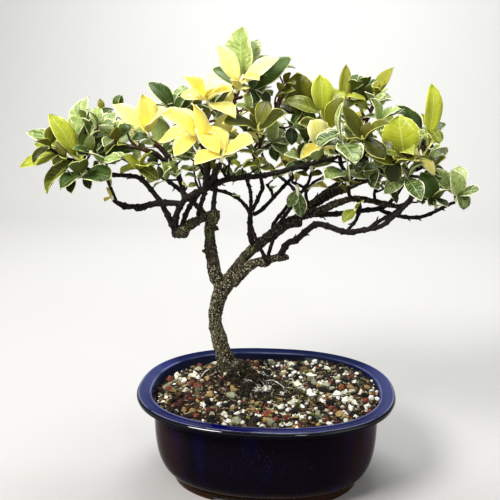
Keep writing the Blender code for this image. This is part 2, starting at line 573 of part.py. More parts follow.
SPRAYS = [
    ("far_left_lime", "lime", (84, 165, -22), (66, 150, -24), 1,
     [(44, 192, 32, 18, -1), (49, 113, 30, 16, -1), (19, 166, 32, 15, -1), (36, 150, 26, 12, 1)]),
    ("far_left_variegated", "variegated", (82, 160, -8), (70, 143, -8), 1,
     [(26, 123, 33, 14, -1), (95, 114, 25, 15, -1), (87, 96, 36, 16, 1), (25, 142, 32, 12, 1),
      (73, 106, 28, 12, -1)]),
    ("far_left_low", "green", (86, 172, -28), (81, 176, -34), 0,
     [(59, 188, 22, 15, -1), (111, 177, 24, 18, -1), (78, 160, 20, 13, -1)]),
    ("left_green", "green", (102, 165, 4), (96, 150, 2), 1,
     [(84, 127, 24, 15, -1), (116, 163, 22, 13, -1), (121, 108, 34, 15, 1), (134, 148, 30, 13, -1),
      (104, 128, 20, 12, -1)]),
    ("left_variegated", "variegated", (106, 160, 22), (101, 142, 22), 1,
     [(97, 113, 26, 13, -1), (123, 124, 24, 13, -1), (110, 98, 34, 13, 1)]),
    ("left_small", "lime", (143, 176, -12), (137, 165, -14), 0,
     [(122, 155, 20, 10, -1), (150, 150, 19, 9, -1), (124, 174, 15, 9, -1), (154, 168, 18, 10, -1)]),
    ("left_small_low", "variegated", (98, 168, -26), (103, 160, -30), 0,
     [(88, 156, 17, 10, -1), (121, 152, 19, 10, -1), (116, 172, 16, 9, -1)]),
    ("yellow_left", "yellow", (150, 139, 5), (146, 129, 4), 1,
     [(113, 104, 34, 17, -1), (142, 94, 29, 17, -1), (156, 100, 30, 12, 1), (108, 125, 32, 14, 1),
      (169, 106, 31, 15, -1)]),
    ("green_pair", "green", (176, 120, 30), (172, 104, 30), 2,
     [(148, 81, 28, 14, -1), (196, 88, 26, 13, 1)]),
    ("round_variegated", "variegated", (182, 118, 40), (176, 104, 40), 1,
     [(177, 72, 29, 20, -1), (163, 94, 24, 12, 1)]),
    ("yellow_front", "yellow", (200, 142, -55), (196, 130, -56), 1,
     [(162, 112, 32, 19, -1), (205, 93, 31, 18, -1), (157, 141, 33, 14, 1), (174, 155, 26, 12, -1),
      (214, 130, 22, 12, -1)]),
    ("yellow_middle", "yellow", (212, 110, -28), (205, 96, -28), 1,
     [(183, 77, 29, 14, -1), (236, 116, 28, 14, -1), (232, 88, 25, 13, -1), (181, 93, 25, 12, 1),
      (213, 74, 24, 13, 1), (231, 103, 24, 11, -1)]),
    ("pale_front", "yellow", (221, 161, -58), (224, 150, -60), 0,
     [(253, 141, 26, 22, -1), (203, 143, 23, 13, -1), (212, 124, 25, 13, 1), (226, 133, 22, 10, 1)]),
    ("top_variegated", "variegated", (240, 88, -6), (247, 70, -8), 1,
     [(241, 25, 33, 27, -1), (273, 56, 22, 13, -1), (258, 44, 26, 13, 1)]),
    ("top_yellow", "yellow", (236, 92, -14), (243, 76, -18), 0,
     [(218, 45, 29, 13, -1), (268, 43, 32, 15, -1), (264, 82, 19, 10, -1)]),
    ("top_green", "green", (243, 96, 4), (256, 88, 6), 1,
     [(291, 55, 36, 16, -1), (212, 66, 36, 12, 1), (272, 98, 18, 10, -1), (252, 103, 18, 11, -1)]),
    ("middle_olive", "olive", (260, 136, -27), (258, 127, -30), 1,
     [(224, 120, 31, 15, -1), (286, 112, 30, 14, -1), (268, 99, 28, 11, 1)]),
    ("round_olive", "olive", (304, 124, 16), (301, 106, 16), 1,
     [(297, 72, 29, 22, -1), (276, 98, 24, 12, 1)]),
    ("right_top_lime", "lime", (322, 120, 4), (322, 107, 4), 0,
     [(320, 74, 27, 16, -1), (283, 101, 31, 16, -1), (342, 96, 24, 14, 1)]),
    ("slim_lime", "lime", (343, 112, 20), (339, 97, 20), 1,
     [(349, 63, 28, 9, -1), (322, 88, 20, 11, 1), (365, 99, 24, 10, -1)]),
    ("right_back_green", "green", (362, 112, 30), (358, 98, 30), 1,
     [(341, 84, 20, 13, -1), (366, 78, 20, 12, -1), (336, 96, 24, 12, 1)]),
    ("right_tall", "lime", (371, 112, 24), (374, 94, 24), 1,
     [(394, 67, 28, 12, -1), (386, 90, 16, 11, -1)]),
    ("right_dark_variegated", "variegated", (377, 128, 4), (379, 116, 4), 0,
     [(371, 98, 20, 13, -1), (390, 98, 20, 11, -1), (360, 118, 18, 10, 1)]),
    ("inner_olive", "olive", (329, 138, -10), (327, 124, -12), 0,
     [(342, 96, 28, 15, -1), (299, 123, 24, 13, -1), (318, 108, 20, 12, 1)]),
    ("right_olive", "olive", (364, 148, -36), (362, 137, -38), 0,
     [(342, 106, 29, 16, -1), (390, 122, 25, 15, -1), (384, 159, 27, 14, -1)]),
    ("right_end_lime", "lime", (427, 148, 6), (429, 128, 6), 0,
     [(434, 83, 36, 14, -1), (417, 133, 16, 11, -1), (445, 141, 20, 11, -1)]),
    ("right_end_green", "green", (419, 148, 20), (424, 132, 20), 1,
     [(399, 104, 29, 17, -1), (446, 122, 24, 12, 1)]),
    ("right_round", "lime", (406, 166, -28), (403, 150, -30), 0,
     [(399, 115, 28, 25, -1), (384, 141, 20, 10, -1), (424, 145, 20, 10, -1)]),
    ("right_low_olive", "olive", (398, 170, -34), (395, 158, -38), 0,
     [(412, 153, 20, 12, -1), (370, 150, 23, 12, -1), (404, 180, 18, 12, -1)]),
    ("middle_variegated", "variegated", (343, 150, -38), (340, 132, -40), 0,
     [(356, 163, 31, 17, -1), (341, 103, 28, 15, -1), (324, 144, 18, 12, -1), (322, 126, 18, 12, 1)]),
    ("yellow_fold", "yellow", (323, 150, -20), (323, 140, -26), 0,
     [(311, 120, 20, 17, -1), (303, 142, 19, 10, -1), (332, 157, 15, 8, -1)]),
    ("inner_dark", "variegated", (312, 170, -18), (309, 160, -22), 0,
     [(290, 150, 22, 12, -1), (318, 148, 18, 11, -1), (287, 170, 22, 10, -1)]),
    ("inner_yellow", "yellow", (290, 176, 6), (288, 164, 4), 0,
     [(280, 146, 20, 9, -1), (296, 150, 18, 7, -1), (274, 168, 14, 8, 1)]),
    ("inner_pale", "variegated", (284, 150, 22), (284, 138, 22), 0,
     [(265, 148, 22, 12, -1), (300, 124, 22, 11, -1), (270, 122, 22, 11, 1)]),
    ("right_low_variegated", "variegated", (348, 184, -26), (344, 172, -30), 0,
     [(330, 157, 24, 17, -1), (361, 160, 20, 12, -1), (330, 180, 20, 14, -1), (362, 178, 18, 10, -1)]),
    ("knot_variegated", "variegated", (380, 178, -16), (380, 168, -20), 0,
     [(368, 148, 22, 15, -1), (394, 152, 22, 12, -1), (398, 176, 20, 11, 1)]),
    ("right_end_yellow", "yellow", (424, 166, -20), (419, 156, -22), 0,
     [(404, 145, 19, 10, -1), (431, 143, 18, 9, -1), (398, 163, 20, 10, -1), (440, 166, 20, 8, -1)]),
    ("right_end_olive", "olive", (434, 176, 10), (431, 162, 12), 1,
     [(446, 157, 20, 9, -1), (415, 150, 22, 10, 1), (448, 171, 20, 10, -1)]),
    ("right_hanging", "variegated", (409, 184, -32), (403, 169, -34), 0,
     [(422, 199, 28, 12, -1), (390, 179, 19, 10, -1)]),
    ("far_right_low", "green", (436, 207, -18), (434, 198, -20), 0,
     [(421, 172, 24, 14, -1), (446, 184, 20, 11, -1), (450, 206, 16, 8, -1)]),
    ("far_right_leaves", "variegated", (455, 201, -10), (460, 192, -9), 1,
     [(430, 168, 30, 14, -1), (468, 168, 23, 13, -1), (474, 183, 18, 12, -1), (449, 168, 22, 10, 1),
      (469, 202, 16, 11, -1)]),
    ("hanging_small", "variegated", (297, 186, -17), (298, 195, -21), 0,
     [(301, 217, 18, 10, -1), (289, 207, 14, 8, -1)]),
    ("low_yellow_green", "lime", (356, 208, -22), (355, 210, -30), 0,
     [(343, 222, 15, 8, -1), (363, 200, 14, 7, -1)]),
    ("left_buds", "yellow", (112.5, 199.5, -5), (111, 197, -5), 0,
     [(109, 187, 9, 5, -1), (118, 190, 9, 4.5, -1), (104, 197, 8, 4.5, -1)]),
]

# Shoots on the plant's far side, given only by foot, head and leaf count.
HIDDEN_SPRAYS = [
    ("rear_one", "green", (122, 156, 63), (112, 142, 72), 6),
    ("rear_two", "lime", (140, 160, 62), (138, 138, 74), 6),
    ("rear_three", "variegated", (166, 160, 58), (160, 136, 70), 6),
    ("rear_four", "olive", (205, 146, 67), (198, 124, 76), 6),
    ("rear_five", "yellow", (222, 150, 56), (227, 126, 62), 5),
    ("rear_six", "variegated", (262, 153, 61), (258, 131, 72), 6),
    ("rear_seven", "green", (304, 158, 46), (306, 136, 54), 6),
    ("rear_eight", "lime", (350, 158, 64), (350, 136, 76), 6),
    ("rear_nine", "variegated", (386, 158, 69), (390, 136, 78), 6),
    ("rear_ten", "green", (404, 164, 49), (416, 146, 56), 5),
    ("rear_eleven", "green", (216, 120, 34), (212, 100, 40), 5),
]


def half_width(u):
    """Half the leaf's width as a share of its widest, u of the way from base to tip."""
    return max(math.sin(math.pi * u ** 1.15), 0.0) ** 0.7


def blade(base, tip, facing, width, fold, arch, thick, columns, start=0.0):
    """A leaf blade: a grid drawn out to a leaf's outline, folded along its midrib and arched."""
    along = tip - base
    length = along.length
    along = along / length
    face = (facing - along * facing.dot(along)).normalized()
    across = along.cross(face)
    shape = bmesh.new()
    last = len(OUTLINE_ROWS) - 1
    bmesh.ops.create_grid(shape, x_segments=columns, y_segments=last, size=1)
    for corner in shape.verts:
        v = corner.co.x
        u = start + (1 - start) * OUTLINE_ROWS[round((corner.co.y + 1) / 2 * last)]
        half = width / 2 * OUTLINE_WIDER * half_width(u)
        rise = arch * length * 4 * u * (1 - u) + abs(v) * half * fold
        corner.co = base + along * length * u + across * v * half + face * rise
    bmesh.ops.remove_doubles(shape, verts=shape.verts, dist=0.02 * MM)
    bmesh.ops.triangulate(shape, faces=shape.faces)
    bmesh.ops.recalc_face_normals(shape, faces=shape.faces)
    bmesh.ops.solidify(shape, geom=shape.faces, thickness=thick)
    bmesh.ops.recalc_face_normals(shape, faces=shape.faces)
    return shape


def leaf_tip(base, across, down, behind, length, lean):
    """Where a leaf of this length ends, if its tip shows at this pixel."""
    flat = from_picture(across, down, behind)
    shown = (flat - base).length
    hidden = math.sqrt(max(length * length - shown * shown, 0.0))
    return from_picture(across, down, behind + lean * hidden / MM)


def turned(vector, axis, degrees):
    return Matrix.Rotation(math.radians(degrees), 3, axis) @ vector


# How far a leaf that would cross something is swung aside and lifted, in degrees, tried in turn.
SWINGS = [(0, 0)] + [
    (swing, lift)
    for reach in (12, 24, 36, 50)
    for swing, lift in (
        (0, reach), (reach, 0), (-reach, 0), (0, -reach), (reach, reach), (-reach, reach),
        (reach, -reach), (-reach, -reach),
    )
]


def bounds_of(shape):
    corners = [v.co for v in shape.verts]
    low = [min(c[axis] for c in corners) for axis in range(3)]
    high = [max(c[axis] for c in corners) for axis in range(3)]
    return low, high


def boxes_meet(one, other):
    return all(one[0][axis] <= other[1][axis] and other[0][axis] <= one[1][axis] for axis in range(3))


def is_clear(shape, obstacles):
    box = bounds_of(shape)
    tree = None
    for other_box, other_tree in obstacles:
        if boxes_meet(box, other_box):
            tree = tree or BVHTree.FromBMesh(shape)
            if tree.overlap(other_tree):
                return False
    return True


def obstacle(shape):
    return bounds_of(shape), BVHTree.FromBMesh(shape)


def obstacle_of(thing):
    shape = bmesh.new()
    shape.from_mesh(thing.data)
    made = obstacle(shape)
    shape.free()
    return made


def fitted_leaf(base, tip, facing, width, draw, others, own, columns):
    """The leaf's blade at the first swing at which it crosses nothing, or None."""
    fold = draw.uniform(*FOLDS)
    arch = draw.uniform(*ARCHES)
    side = (tip - base).cross(facing).normalized()
    for swing, lift in SWINGS:
        along = turned(turned(tip - base, facing, swing), side, lift)
        end = base + along
        wide = blade(base, end, facing, width + CLEAR_OF_OTHERS, fold, arch, THICK_OF_CLEARANCE, columns)
        outer = blade(base, end, facing, width, fold, arch, BLADE_THICK, columns, OWN_FROM)
        if is_clear(wide, others) and is_clear(outer, own):
            own.append(obstacle(outer))
            wide.free()
            outer.free()
            root = base + along.normalized() * ROOT_OUT
            return blade(root, end, facing, width, fold, arch, BLADE_THICK, columns)
        wide.free()
        outer.free()
    return None


def automatic_leaves(foot, head, count, draw, first_turn, spread):
    """Leaves in crossed pairs up a shoot, as (base, tip, facing, width)."""
    way = (head - foot).normalized()
    level = way.cross(Vector((0, 0, 1))).normalized()
    found = []
    for number in range(count):
        pair = number // 2
        share = 0.4 + 0.55 * pair / max((count - 1) // 2, 1)
        around = first_turn + 90 * pair + 180 * (number % 2) + draw.uniform(-spread, spread)
        out = turned(level, way, around)
        pitch = math.radians(draw.uniform(*REAR_PITCHES) - 12 * pair)
        along = out * math.sin(pitch) + way * math.cos(pitch)
        length = draw.uniform(*REAR_LENGTHS)
        width = length * draw.uniform(*REAR_WIDTHS)
        base = foot.lerp(head, share)
        facing = (Vector((0, 0, 1)) + way * 0.6 + out * 0.2).normalized()
        found.append((base, base + along * length, facing, width))
    return found


def spray_leaves(spray, draw):
    """The leaves of one spray: those that show, then those on its far side."""
    name, colour, foot_at, head_at, rear, shown = spray
    foot, head = from_picture(*foot_at), from_picture(*head_at)
    found = []
    for number, (across, down, length, width, lean) in enumerate(shown):
        share = 0.45 + 0.5 * (number // 2) / max((len(shown) - 1) // 2, 1)
        base = foot.lerp(head, min(share, 0.95))
        behind = foot_at[2] + (head_at[2] - foot_at[2]) * share
        tip = leaf_tip(base, across, down, behind, length * MM, lean)
        facing = Vector((draw.uniform(-0.35, 0.35), draw.uniform(-0.9, -0.3), 0.9))
        found.append((base, tip, facing.normalized(), width * MM))
    way = (head - foot).normalized()
    for number in range(rear):
        out = Vector((draw.uniform(-0.8, 0.8), 1, draw.uniform(-0.1, 0.7))).normalized()
        along = (out + way * 0.3).normalized() * draw.uniform(23, 30) * MM
        base = foot.lerp(head, 0.6)
        found.append((base, base + along, Vector((0, 0, 1)), draw.uniform(11, 15) * MM))
    return foot, head, found


def stalk(foot, head, thick):
    """A straight four-sided stalk, thinner at its head."""
    along = head - foot
    shape = bmesh.new()
    bmesh.ops.create_cone(
        shape, cap_ends=True, segments=4, radius1=thick / 2, radius2=thick * 0.375, depth=along.length
    )
    bmesh.ops.rotate(shape, verts=shape.verts, matrix=along.to_track_quat("Z", "Y").to_matrix())
    bmesh.ops.translate(shape, verts=shape.verts, vec=(foot + head) / 2)
    return shape


def shoot_of(name, foot, head, colour, wood):
    """The green stalk that the leaves stand on, slid up until it starts just clear of what carries it."""
    step = (head - foot).normalized() * GAP
    start = foot + step
    for slide in range(SHOOT_SLIDES):
        tested = stalk(start, head, SHOOT_THICK + GAP)
        clear = is_clear(tested, wood)
        tested.free()
        if clear:
            break
        start += step
    return object_from(stalk(start, head, SHOOT_THICK), name, LEAVES[colour])


def all_sprays():
    """Every spray as (name, colour, foot, head, leaves), with its own seeded draw."""
    found = []
    for number, spray in enumerate(SPRAYS):
        draw = random.Random(100 + number)
        foot, head, leaves = spray_leaves(spray, draw)
        found.append((spray[0], spray[1], foot, head, leaves, draw))
    for number, (name, colour, foot_at, head_at, count) in enumerate(HIDDEN_SPRAYS):
        draw = random.Random(500 + number)
        foot, head = from_picture(*foot_at), from_picture(*head_at)
        leaves = automatic_leaves(foot, head, count, draw, 30 * number, 18)
        found.append((name, colour, foot, head, leaves, draw))
    return found


def twigs_to(sprays):
    """A twig from the nearest wood to each shoot's foot."""
    twigs = []
    for name, colour, foot, head, leaves, draw in sprays:
        start, start_way = nearest_wood(foot)
        way = (head - foot).normalized()
        if (foot - start).length < 1 * MM:
            continue
        if start_way.dot(foot - start) < 0:
            start_way = -start_way
        points = twig_points(start, start_way, foot, way)
        if (foot - start).length < SHORT_TWIG:
            points = [start, foot - way * TWIG_END, foot]
        thin = (TWIG_THICK[0] - TWIG_THICK[1]) / (len(points) - 1)
        thick = [TWIG_THICK[0] - thin * step for step in range(len(points))]
        twigs.append(branch("twig_to_" + name, points, thick, 4))
    return twigs


def sprays_built(sprays, wood_obstacles):
    """Each shoot with its leaves fused on, none of them crossing the wood or another spray."""
    others = list(wood_obstacles)
    folded = {name: [] for name, *rest in sprays}
    for name, colour, foot, head, rear, shown in SPRAYS:
        folded[name] = [order for order, leaf in enumerate(shown) if leaf[3] >= FOLDED_FROM]
    shoots = []
    for name, colour, foot, head, leaves, draw in sprays:
        shoots.append(shoot_of(name, foot, head, colour, wood_obstacles))
    shoot_obstacles = [obstacle_of(shoot) for shoot in shoots]
    for number, (name, colour, foot, head, leaves, draw) in enumerate(sprays):
        others_now = others + [o for index, o in enumerate(shoot_obstacles) if index != number]
        own, parts = [], []
        for order, (base, tip, facing, width) in enumerate(leaves):
            columns = 2 if order in folded[name] else 1
            shape = fitted_leaf(base, tip, facing, width, draw, others_now, own, columns)
            if shape:
                parts.append(object_from(shape, "leaf", LEAVES[colour]))
        others += [obstacle_of(part) for part in parts]
        if parts:
            joined(shoots[number], parts)
        else:
            bpy.data.objects.remove(shoots[number])


# Soil


def soil_level(x, y):
    """Height of the soil, measured from the pot's middle: higher on the right and at the trunk."""
    trunk = from_picture(*ROUTES["trunk"][2][:3])
    away = ((x + POT_X - trunk.x) ** 2 + 1.3 * (y + POT_Y - trunk.y) ** 2) / MOUND_WIDE ** 2
    right = min(max((x + 45 * MM) / (110 * MM), 0), 1)
    return SOIL_AT_WALL + SOIL_RISE_RIGHT * right + MOUND * math.exp(-away)


def grain_places():
    """Where the largest grains lie, as (x, y, size, turn), clear of the wood and of each other."""
    draw = random.Random(GRAIN_SEED)
    wall = BODY_HALF_LENGTH - WALL - SOIL_CLEAR
    wood = [from_picture(*point[:3]) for name in GROUND_ROUTES for point in ROUTES[name]]
    laid = []
    for attempt in range(GRAIN_TRIES):
        size = draw.uniform(*GRAIN_SIZES)
        x, y = on_plan(draw.uniform(0, 2 * math.pi), (wall - size) * math.sqrt(draw.random()))
        turn = draw.uniform(0, 2 * math.pi)
        from_wood = min(math.hypot(x + POT_X - stem.x, y + POT_Y - stem.y) for stem in wood)
        if from_wood > GRAIN_OFF_WOOD and all(
            math.hypot(x - other[0], y - other[1]) > GRAINS_APART for other in laid
        ):
            laid.append((x, y, size, turn))
    return laid


def soil_points():
    """The top of the fill as points: its edge, the feet and tops of the grains, and lumps between them."""
    wall = BODY_HALF_LENGTH - WALL - SOIL_CLEAR
    points = []
    for step in range(POT_STEPS):
        angle = 2 * math.pi * step / POT_STEPS
        level = soil_level(*on_plan(angle, wall))
        points.append((*on_plan(angle, inner_half_length(level) - SOIL_CLEAR), level))
    grains = grain_places()
    for x, y, size, turn in grains:
        for corners, radius, rise in GRAIN_RINGS:
            for corner in range(corners):
                angle = turn + 2 * math.pi * corner / corners
                across = x + radius * size * math.cos(angle)
                back = y + radius * size * math.sin(angle)
                points.append((across, back, soil_level(across, back) + rise * size))
    draw = random.Random(GRAIN_SEED)
    rows = round(2 * wall / LUMPS_APART)
    for number in range(rows * rows):
        x = (number % rows + draw.uniform(0.2, 0.8)) * LUMPS_APART - wall
        y = (number // rows + draw.uniform(0.2, 0.8)) * LUMPS_APART - wall
        edge = math.hypot(*on_plan(math.atan2(y / half_depth_share(wall), x), wall - LUMP_OFF_GRAIN))
        off_grains = all(math.hypot(x - grain[0], y - grain[1]) > LUMP_OFF_GRAIN for grain in grains)
        if math.hypot(x, y) < edge and off_grains:
            points.append((x, y, soil_level(x, y) + draw.uniform(-LUMP_HEIGHT, LUMP_HEIGHT)))
    return points


def soil():
    """The whole fill: its top spanned over the points of the soil, and its edge drawn down into the pot."""
    wall = BODY_HALF_LENGTH - WALL - SOIL_CLEAR
    points = soil_points()
    flat = [Vector(point[:2]) for point in points]
    places, edges, faces, sources, *rest = delaunay_2d_cdt(flat, [], [], 0, 0.01 * MM)
    shape = bmesh.new()
    corners = [shape.verts.new(points[source[0]]) for source in sources]
    for face in faces:
        shape.faces.new([corners[number] for number in face])
    rim = [edge for edge in shape.edges if edge.is_boundary]
    share = half_depth_share(wall)
    skirt = [(0, FLARE_FROM - FLOOR_TOP - SOIL_SLACK)] + list(reversed(INNER_CORNER[:-1]))
    for inset, rise in skirt:
        half_length = wall - inset - min(inset, SOIL_SLACK)
        made = bmesh.ops.extrude_edge_only(shape, edges=rim)["geom"]
        rim = [item for item in made if isinstance(item, bmesh.types.BMEdge)]
        for corner in {v for edge in rim for v in edge.verts}:
            angle = math.atan2(corner.co.y / share, corner.co.x)
            corner.co.x, corner.co.y = on_plan(angle, half_length)
            corner.co.z = FLOOR_TOP + GAP + rise
        share = half_depth_share(half_length)
    bmesh.ops.contextual_create(shape, geom=rim)
    bmesh.ops.recalc_face_normals(shape, faces=shape.faces)
    bmesh.ops.translate(shape, vec=(POT_X, POT_Y, 0), verts=shape.verts)
    fill = object_from(shape, "soil", GRIT)
    pockets = [route_branch(name, POCKET_CLEAR) for name in GROUND_ROUTES]
    for side in (-1, 1):
        middle = (POT_X + side * DRAIN_OUT, POT_Y, FLOOR_TOP)
        pad = (MESH_SIDE + 2 * GAP, MESH_SIDE + 2 * GAP, 2 * (MESH_THICK + 2 * GAP))
        pockets.append(cutter(block(pad, middle), "mesh_pocket"))
    return joined(fill, pockets, "DIFFERENCE", "MANIFOLD")


def shaded_round(thing):
    thing.data.shade_smooth()
    thing.data.set_sharp_from_angle(angle=SMOOTH_UP_TO)


def main():
    shaded_round(pot())
    drain_mesh(-1, "drain_mesh_left")
    drain_mesh(1, "drain_mesh_right")
    soil()
    sprays = all_sprays()
    branches = [route_branch(name) for name in ROUTES] + twigs_to(sprays)
    wood_obstacles = [obstacle_of(piece) for piece in branches]
    sprays_built(sprays, wood_obstacles)
    wood = joined(branches[0], branches[1:])
    wood.name = "trunk_and_branches"
    shaded_round(wood)


main()
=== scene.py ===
import math
import random

import bmesh
import bpy
from mathutils import Matrix, Vector, noise
from mathutils.bvhtree import BVHTree


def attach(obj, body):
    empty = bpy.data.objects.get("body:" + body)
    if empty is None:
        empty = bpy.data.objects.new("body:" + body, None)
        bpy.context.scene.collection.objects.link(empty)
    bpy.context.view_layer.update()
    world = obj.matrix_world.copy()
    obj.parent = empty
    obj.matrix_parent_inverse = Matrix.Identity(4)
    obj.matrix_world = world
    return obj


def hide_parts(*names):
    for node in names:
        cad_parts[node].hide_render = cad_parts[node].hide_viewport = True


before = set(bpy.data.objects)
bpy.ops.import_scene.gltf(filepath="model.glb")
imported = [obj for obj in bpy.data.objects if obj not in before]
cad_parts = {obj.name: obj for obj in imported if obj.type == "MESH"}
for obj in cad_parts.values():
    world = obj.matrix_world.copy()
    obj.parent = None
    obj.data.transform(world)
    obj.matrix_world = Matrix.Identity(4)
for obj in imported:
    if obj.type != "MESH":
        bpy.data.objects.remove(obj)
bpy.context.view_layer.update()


# Pot
# One clay body pressed in an oval mould, with a broad dished rim and a foot ring cut away in arches.
# It is dipped in cobalt glaze, which pools almost black on the belly and breaks paler along every edge
# where it is thin, the rim's pale lines partly being painted highlight. The brown of the belly's ends, blue
# streaks on the belly and slate at the rim's ends are painted reflections, and the lip's outer face, the
# inner wall and the back of the rim are darkened with painted shade.

MM = 0.001
POT_MIDDLE = Vector((10.5, -9, 0)) * MM
PLAN_POWER = 2.3
RIM_HALF_LENGTH = 103
RIM_TOP = 75
OPENING_HALF_LENGTH = 91.5
OPENING_HEIGHT = 73.5
BODY_HALF_LENGTH = 89.5
INNER_HALF_LENGTH = 85
FLARE_FROM = 64
FOOT_HALF_LENGTH = 77
FOOT_HEIGHT = 8.5
FOOT_RING = 8
HALF_DEPTH_LESS = 20
FLOOR_TOP = 14
BELLY_TOP = 64
BELLY_STEPS = 26
BELLY_STEP_SPREAD = 0.72
BELLY_TUCK = 4
BELLY_FULLNESS = 1.6
POT_STEPS = 168
ARCH_HEIGHT = 6
FRONT_ARCH = 74
END_ARCH = 36
DRAIN_HOLE = 14
DRAIN_OUT = 38
SHARP_FROM = math.radians(38)
# Where the glaze breaks pale and a highlight is painted: how far inside the pot's outer edge the rim's
# two pale lines run.
OUTER_LINE = 2.1 * MM
INNER_LINE = 11.2 * MM


def colour(red, green, blue):
    """A colour given as it looks on a screen, from 0 to 255, as the shader's own linear numbers."""
    shares = [level / 255 for level in (red, green, blue)]
    linear = [s / 12.92 if s <= 0.04045 else ((s + 0.055) / 1.055) ** 2.4 for s in shares]
    return (*linear, 1.0)


class Wire:
    """One socket of a material, on which arithmetic is written as it is on numbers."""

    def __init__(self, paint, socket):
        self.paint = paint
        self.socket = socket

    def maths(self, operation, first, second=0.0):
        return self.paint.node("ShaderNodeMath", {"operation": operation}, {0: first, 1: second})

    def __add__(self, other):
        return self.maths("ADD", self, other)

    def __radd__(self, other):
        return self.maths("ADD", other, self)

    def __sub__(self, other):
        return self.maths("SUBTRACT", self, other)

    def __rsub__(self, other):
        return self.maths("SUBTRACT", other, self)

    def __mul__(self, other):
        return self.maths("MULTIPLY", self, other)

    def __rmul__(self, other):
        return self.maths("MULTIPLY", other, self)

    def __abs__(self):
        return self.maths("ABSOLUTE", self)

    def __truediv__(self, other):
        return self.maths("DIVIDE", self, other)

    def __pow__(self, other):
        return self.maths("POWER", self, other)

    def __mod__(self, other):
        return self.maths("FLOORED_MODULO", self, other)

    def top(self, other):
        """The larger of the two."""
        return self.maths("MAXIMUM", self, other)


class Paint:
    """A finish under way: a Principled shader whose nodes all come from one method."""

    def __init__(self, name, **constants):
        self.material = bpy.data.materials.new(name)
        self.material.use_nodes = True
        self.tree = self.material.node_tree
        self.shader = self.tree.nodes["Principled BSDF"]
        for socket, value in constants.items():
            self.shader.inputs[socket.replace("_", " ").title().replace("Ior", "IOR")].default_value = value

    def node(self, kind, settings=None, inputs=None, output=0):
        made = self.tree.nodes.new(kind)
        for name, value in (settings or {}).items():
            setattr(made, name, value)
        for key, value in (inputs or {}).items():
            self.feed(made.inputs[key], value)
        return Wire(self, made.outputs[output])

    def feed(self, socket, value):
        if isinstance(value, Wire):
            self.tree.links.new(value.socket, socket)
        else:
            socket.default_value = value

    def set(self, name, value):
        self.feed(self.shader.inputs[name], value)

    def place(self):
        return self.node("ShaderNodeTexCoord", output="Object")

    def parts(self, vector):
        split = self.node("ShaderNodeSeparateXYZ", None, {0: vector})
        return [Wire(self, socket) for socket in split.socket.node.outputs]

    def vector(self, x, y, z):
        return self.node("ShaderNodeCombineXYZ", None, {0: x, 1: y, 2: z})

    def noise(self, vector, scale, detail=3.0, rough=0.5):
        return self.node("ShaderNodeTexNoise", None, {
            "Vector": vector, "Scale": scale, "Detail": detail, "Roughness": rough,
        })

    def cells(self, vector, scale, output):
        return self.node(
            "ShaderNodeTexVoronoi", None, {"Vector": vector, "Scale": scale}, output=output
        )

    def attribute(self, name):
        return self.node("ShaderNodeAttribute", {"attribute_name": name}, output="Fac")

    def distance(self, vector, spot):
        return self.node(
            "ShaderNodeVectorMath", {"operation": "DISTANCE"}, {0: vector, 1: spot}, output="Value"
        )

    def smooth(self, value, low, high):
        """Runs from 0 at low to 1 at high, and the other way round where low is the larger."""
        return self.node(
            "ShaderNodeMapRange", {"interpolation_type": "SMOOTHSTEP"},
            {"Value": value, "From Min": low, "From Max": high},
        )

    def blend(self, share, one, other):
        return self.node("ShaderNodeMix", {"data_type": "RGBA"}, {0: share, 6: one, 7: other}, output=2)

    def bump(self, height, strength, distance):
        self.set("Normal", self.node(
            "ShaderNodeBump", None, {"Height": height, "Strength": strength, "Distance": distance}
        ))


def object_of(shape, name, materials, slot):
    """Turns a finished bmesh or mesh into a piece that rides with the plant."""
    if isinstance(shape, bmesh.types.BMesh):
        mesh = bpy.data.meshes.new(name)
        shape.to_mesh(mesh)
        shape.free()
    else:
        mesh = shape
    mesh.materials.clear()
    for material in materials:
        mesh.materials.append(material)
    piece = bpy.data.objects.new(name, mesh)
    bpy.context.scene.collection.objects.link(piece)
    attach(piece, "root")
    return piece


def baked(thing):
    """The mesh that an object shows with its modifiers; the object itself is taken away."""
    bpy.context.view_layer.update()
    graph = bpy.context.evaluated_depsgraph_get()
    mesh = bpy.data.meshes.new_from_object(thing.evaluated_get(graph))
    bpy.data.objects.remove(thing)
    return mesh


def loose_object(shape, name):
    """A shape as an object that is only worked on and isn't a piece."""
    mesh = bpy.data.meshes.new(name)
    shape.to_mesh(mesh)
    shape.free()
    thing = bpy.data.objects.new(name, mesh)
    bpy.context.scene.collection.objects.link(thing)
    return thing


def half_depth_share(half_length):
    """The oval is everywhere the same amount less deep than it is long."""
    half_length = max(half_length, FOOT_HALF_LENGTH - FOOT_RING)
    return (half_length - HALF_DEPTH_LESS) / half_length


def on_plan(angle, half_length):
    """Where the pot's plan, a full-cornered oval of this half length, is met in a direction."""
    along, aside = math.cos(angle), math.sin(angle)
    fuller = (abs(along) ** PLAN_POWER + abs(aside) ** PLAN_POWER) ** (-1 / PLAN_POWER)
    return half_length * fuller * along, half_length * fuller * aside * half_depth_share(half_length)


def rounded(corners, steps=5):
    """An outline's points, with each corner that has a radius turned into a small curve."""
    points = []
    for number, (out, up, radius) in enumerate(corners):
        corner = Vector((out, up))
        if not radius:
            points.append(corner)
            continue
        before = corner + (Vector(corners[number - 1][:2]) - corner).normalized() * radius
        after = corner + (Vector(corners[number + 1][:2]) - corner).normalized() * radius
        for step in range(steps + 1):
            t = step / steps
            points.append(before * (1 - t) ** 2 + corner * 2 * t * (1 - t) + after * t * t)
    return points


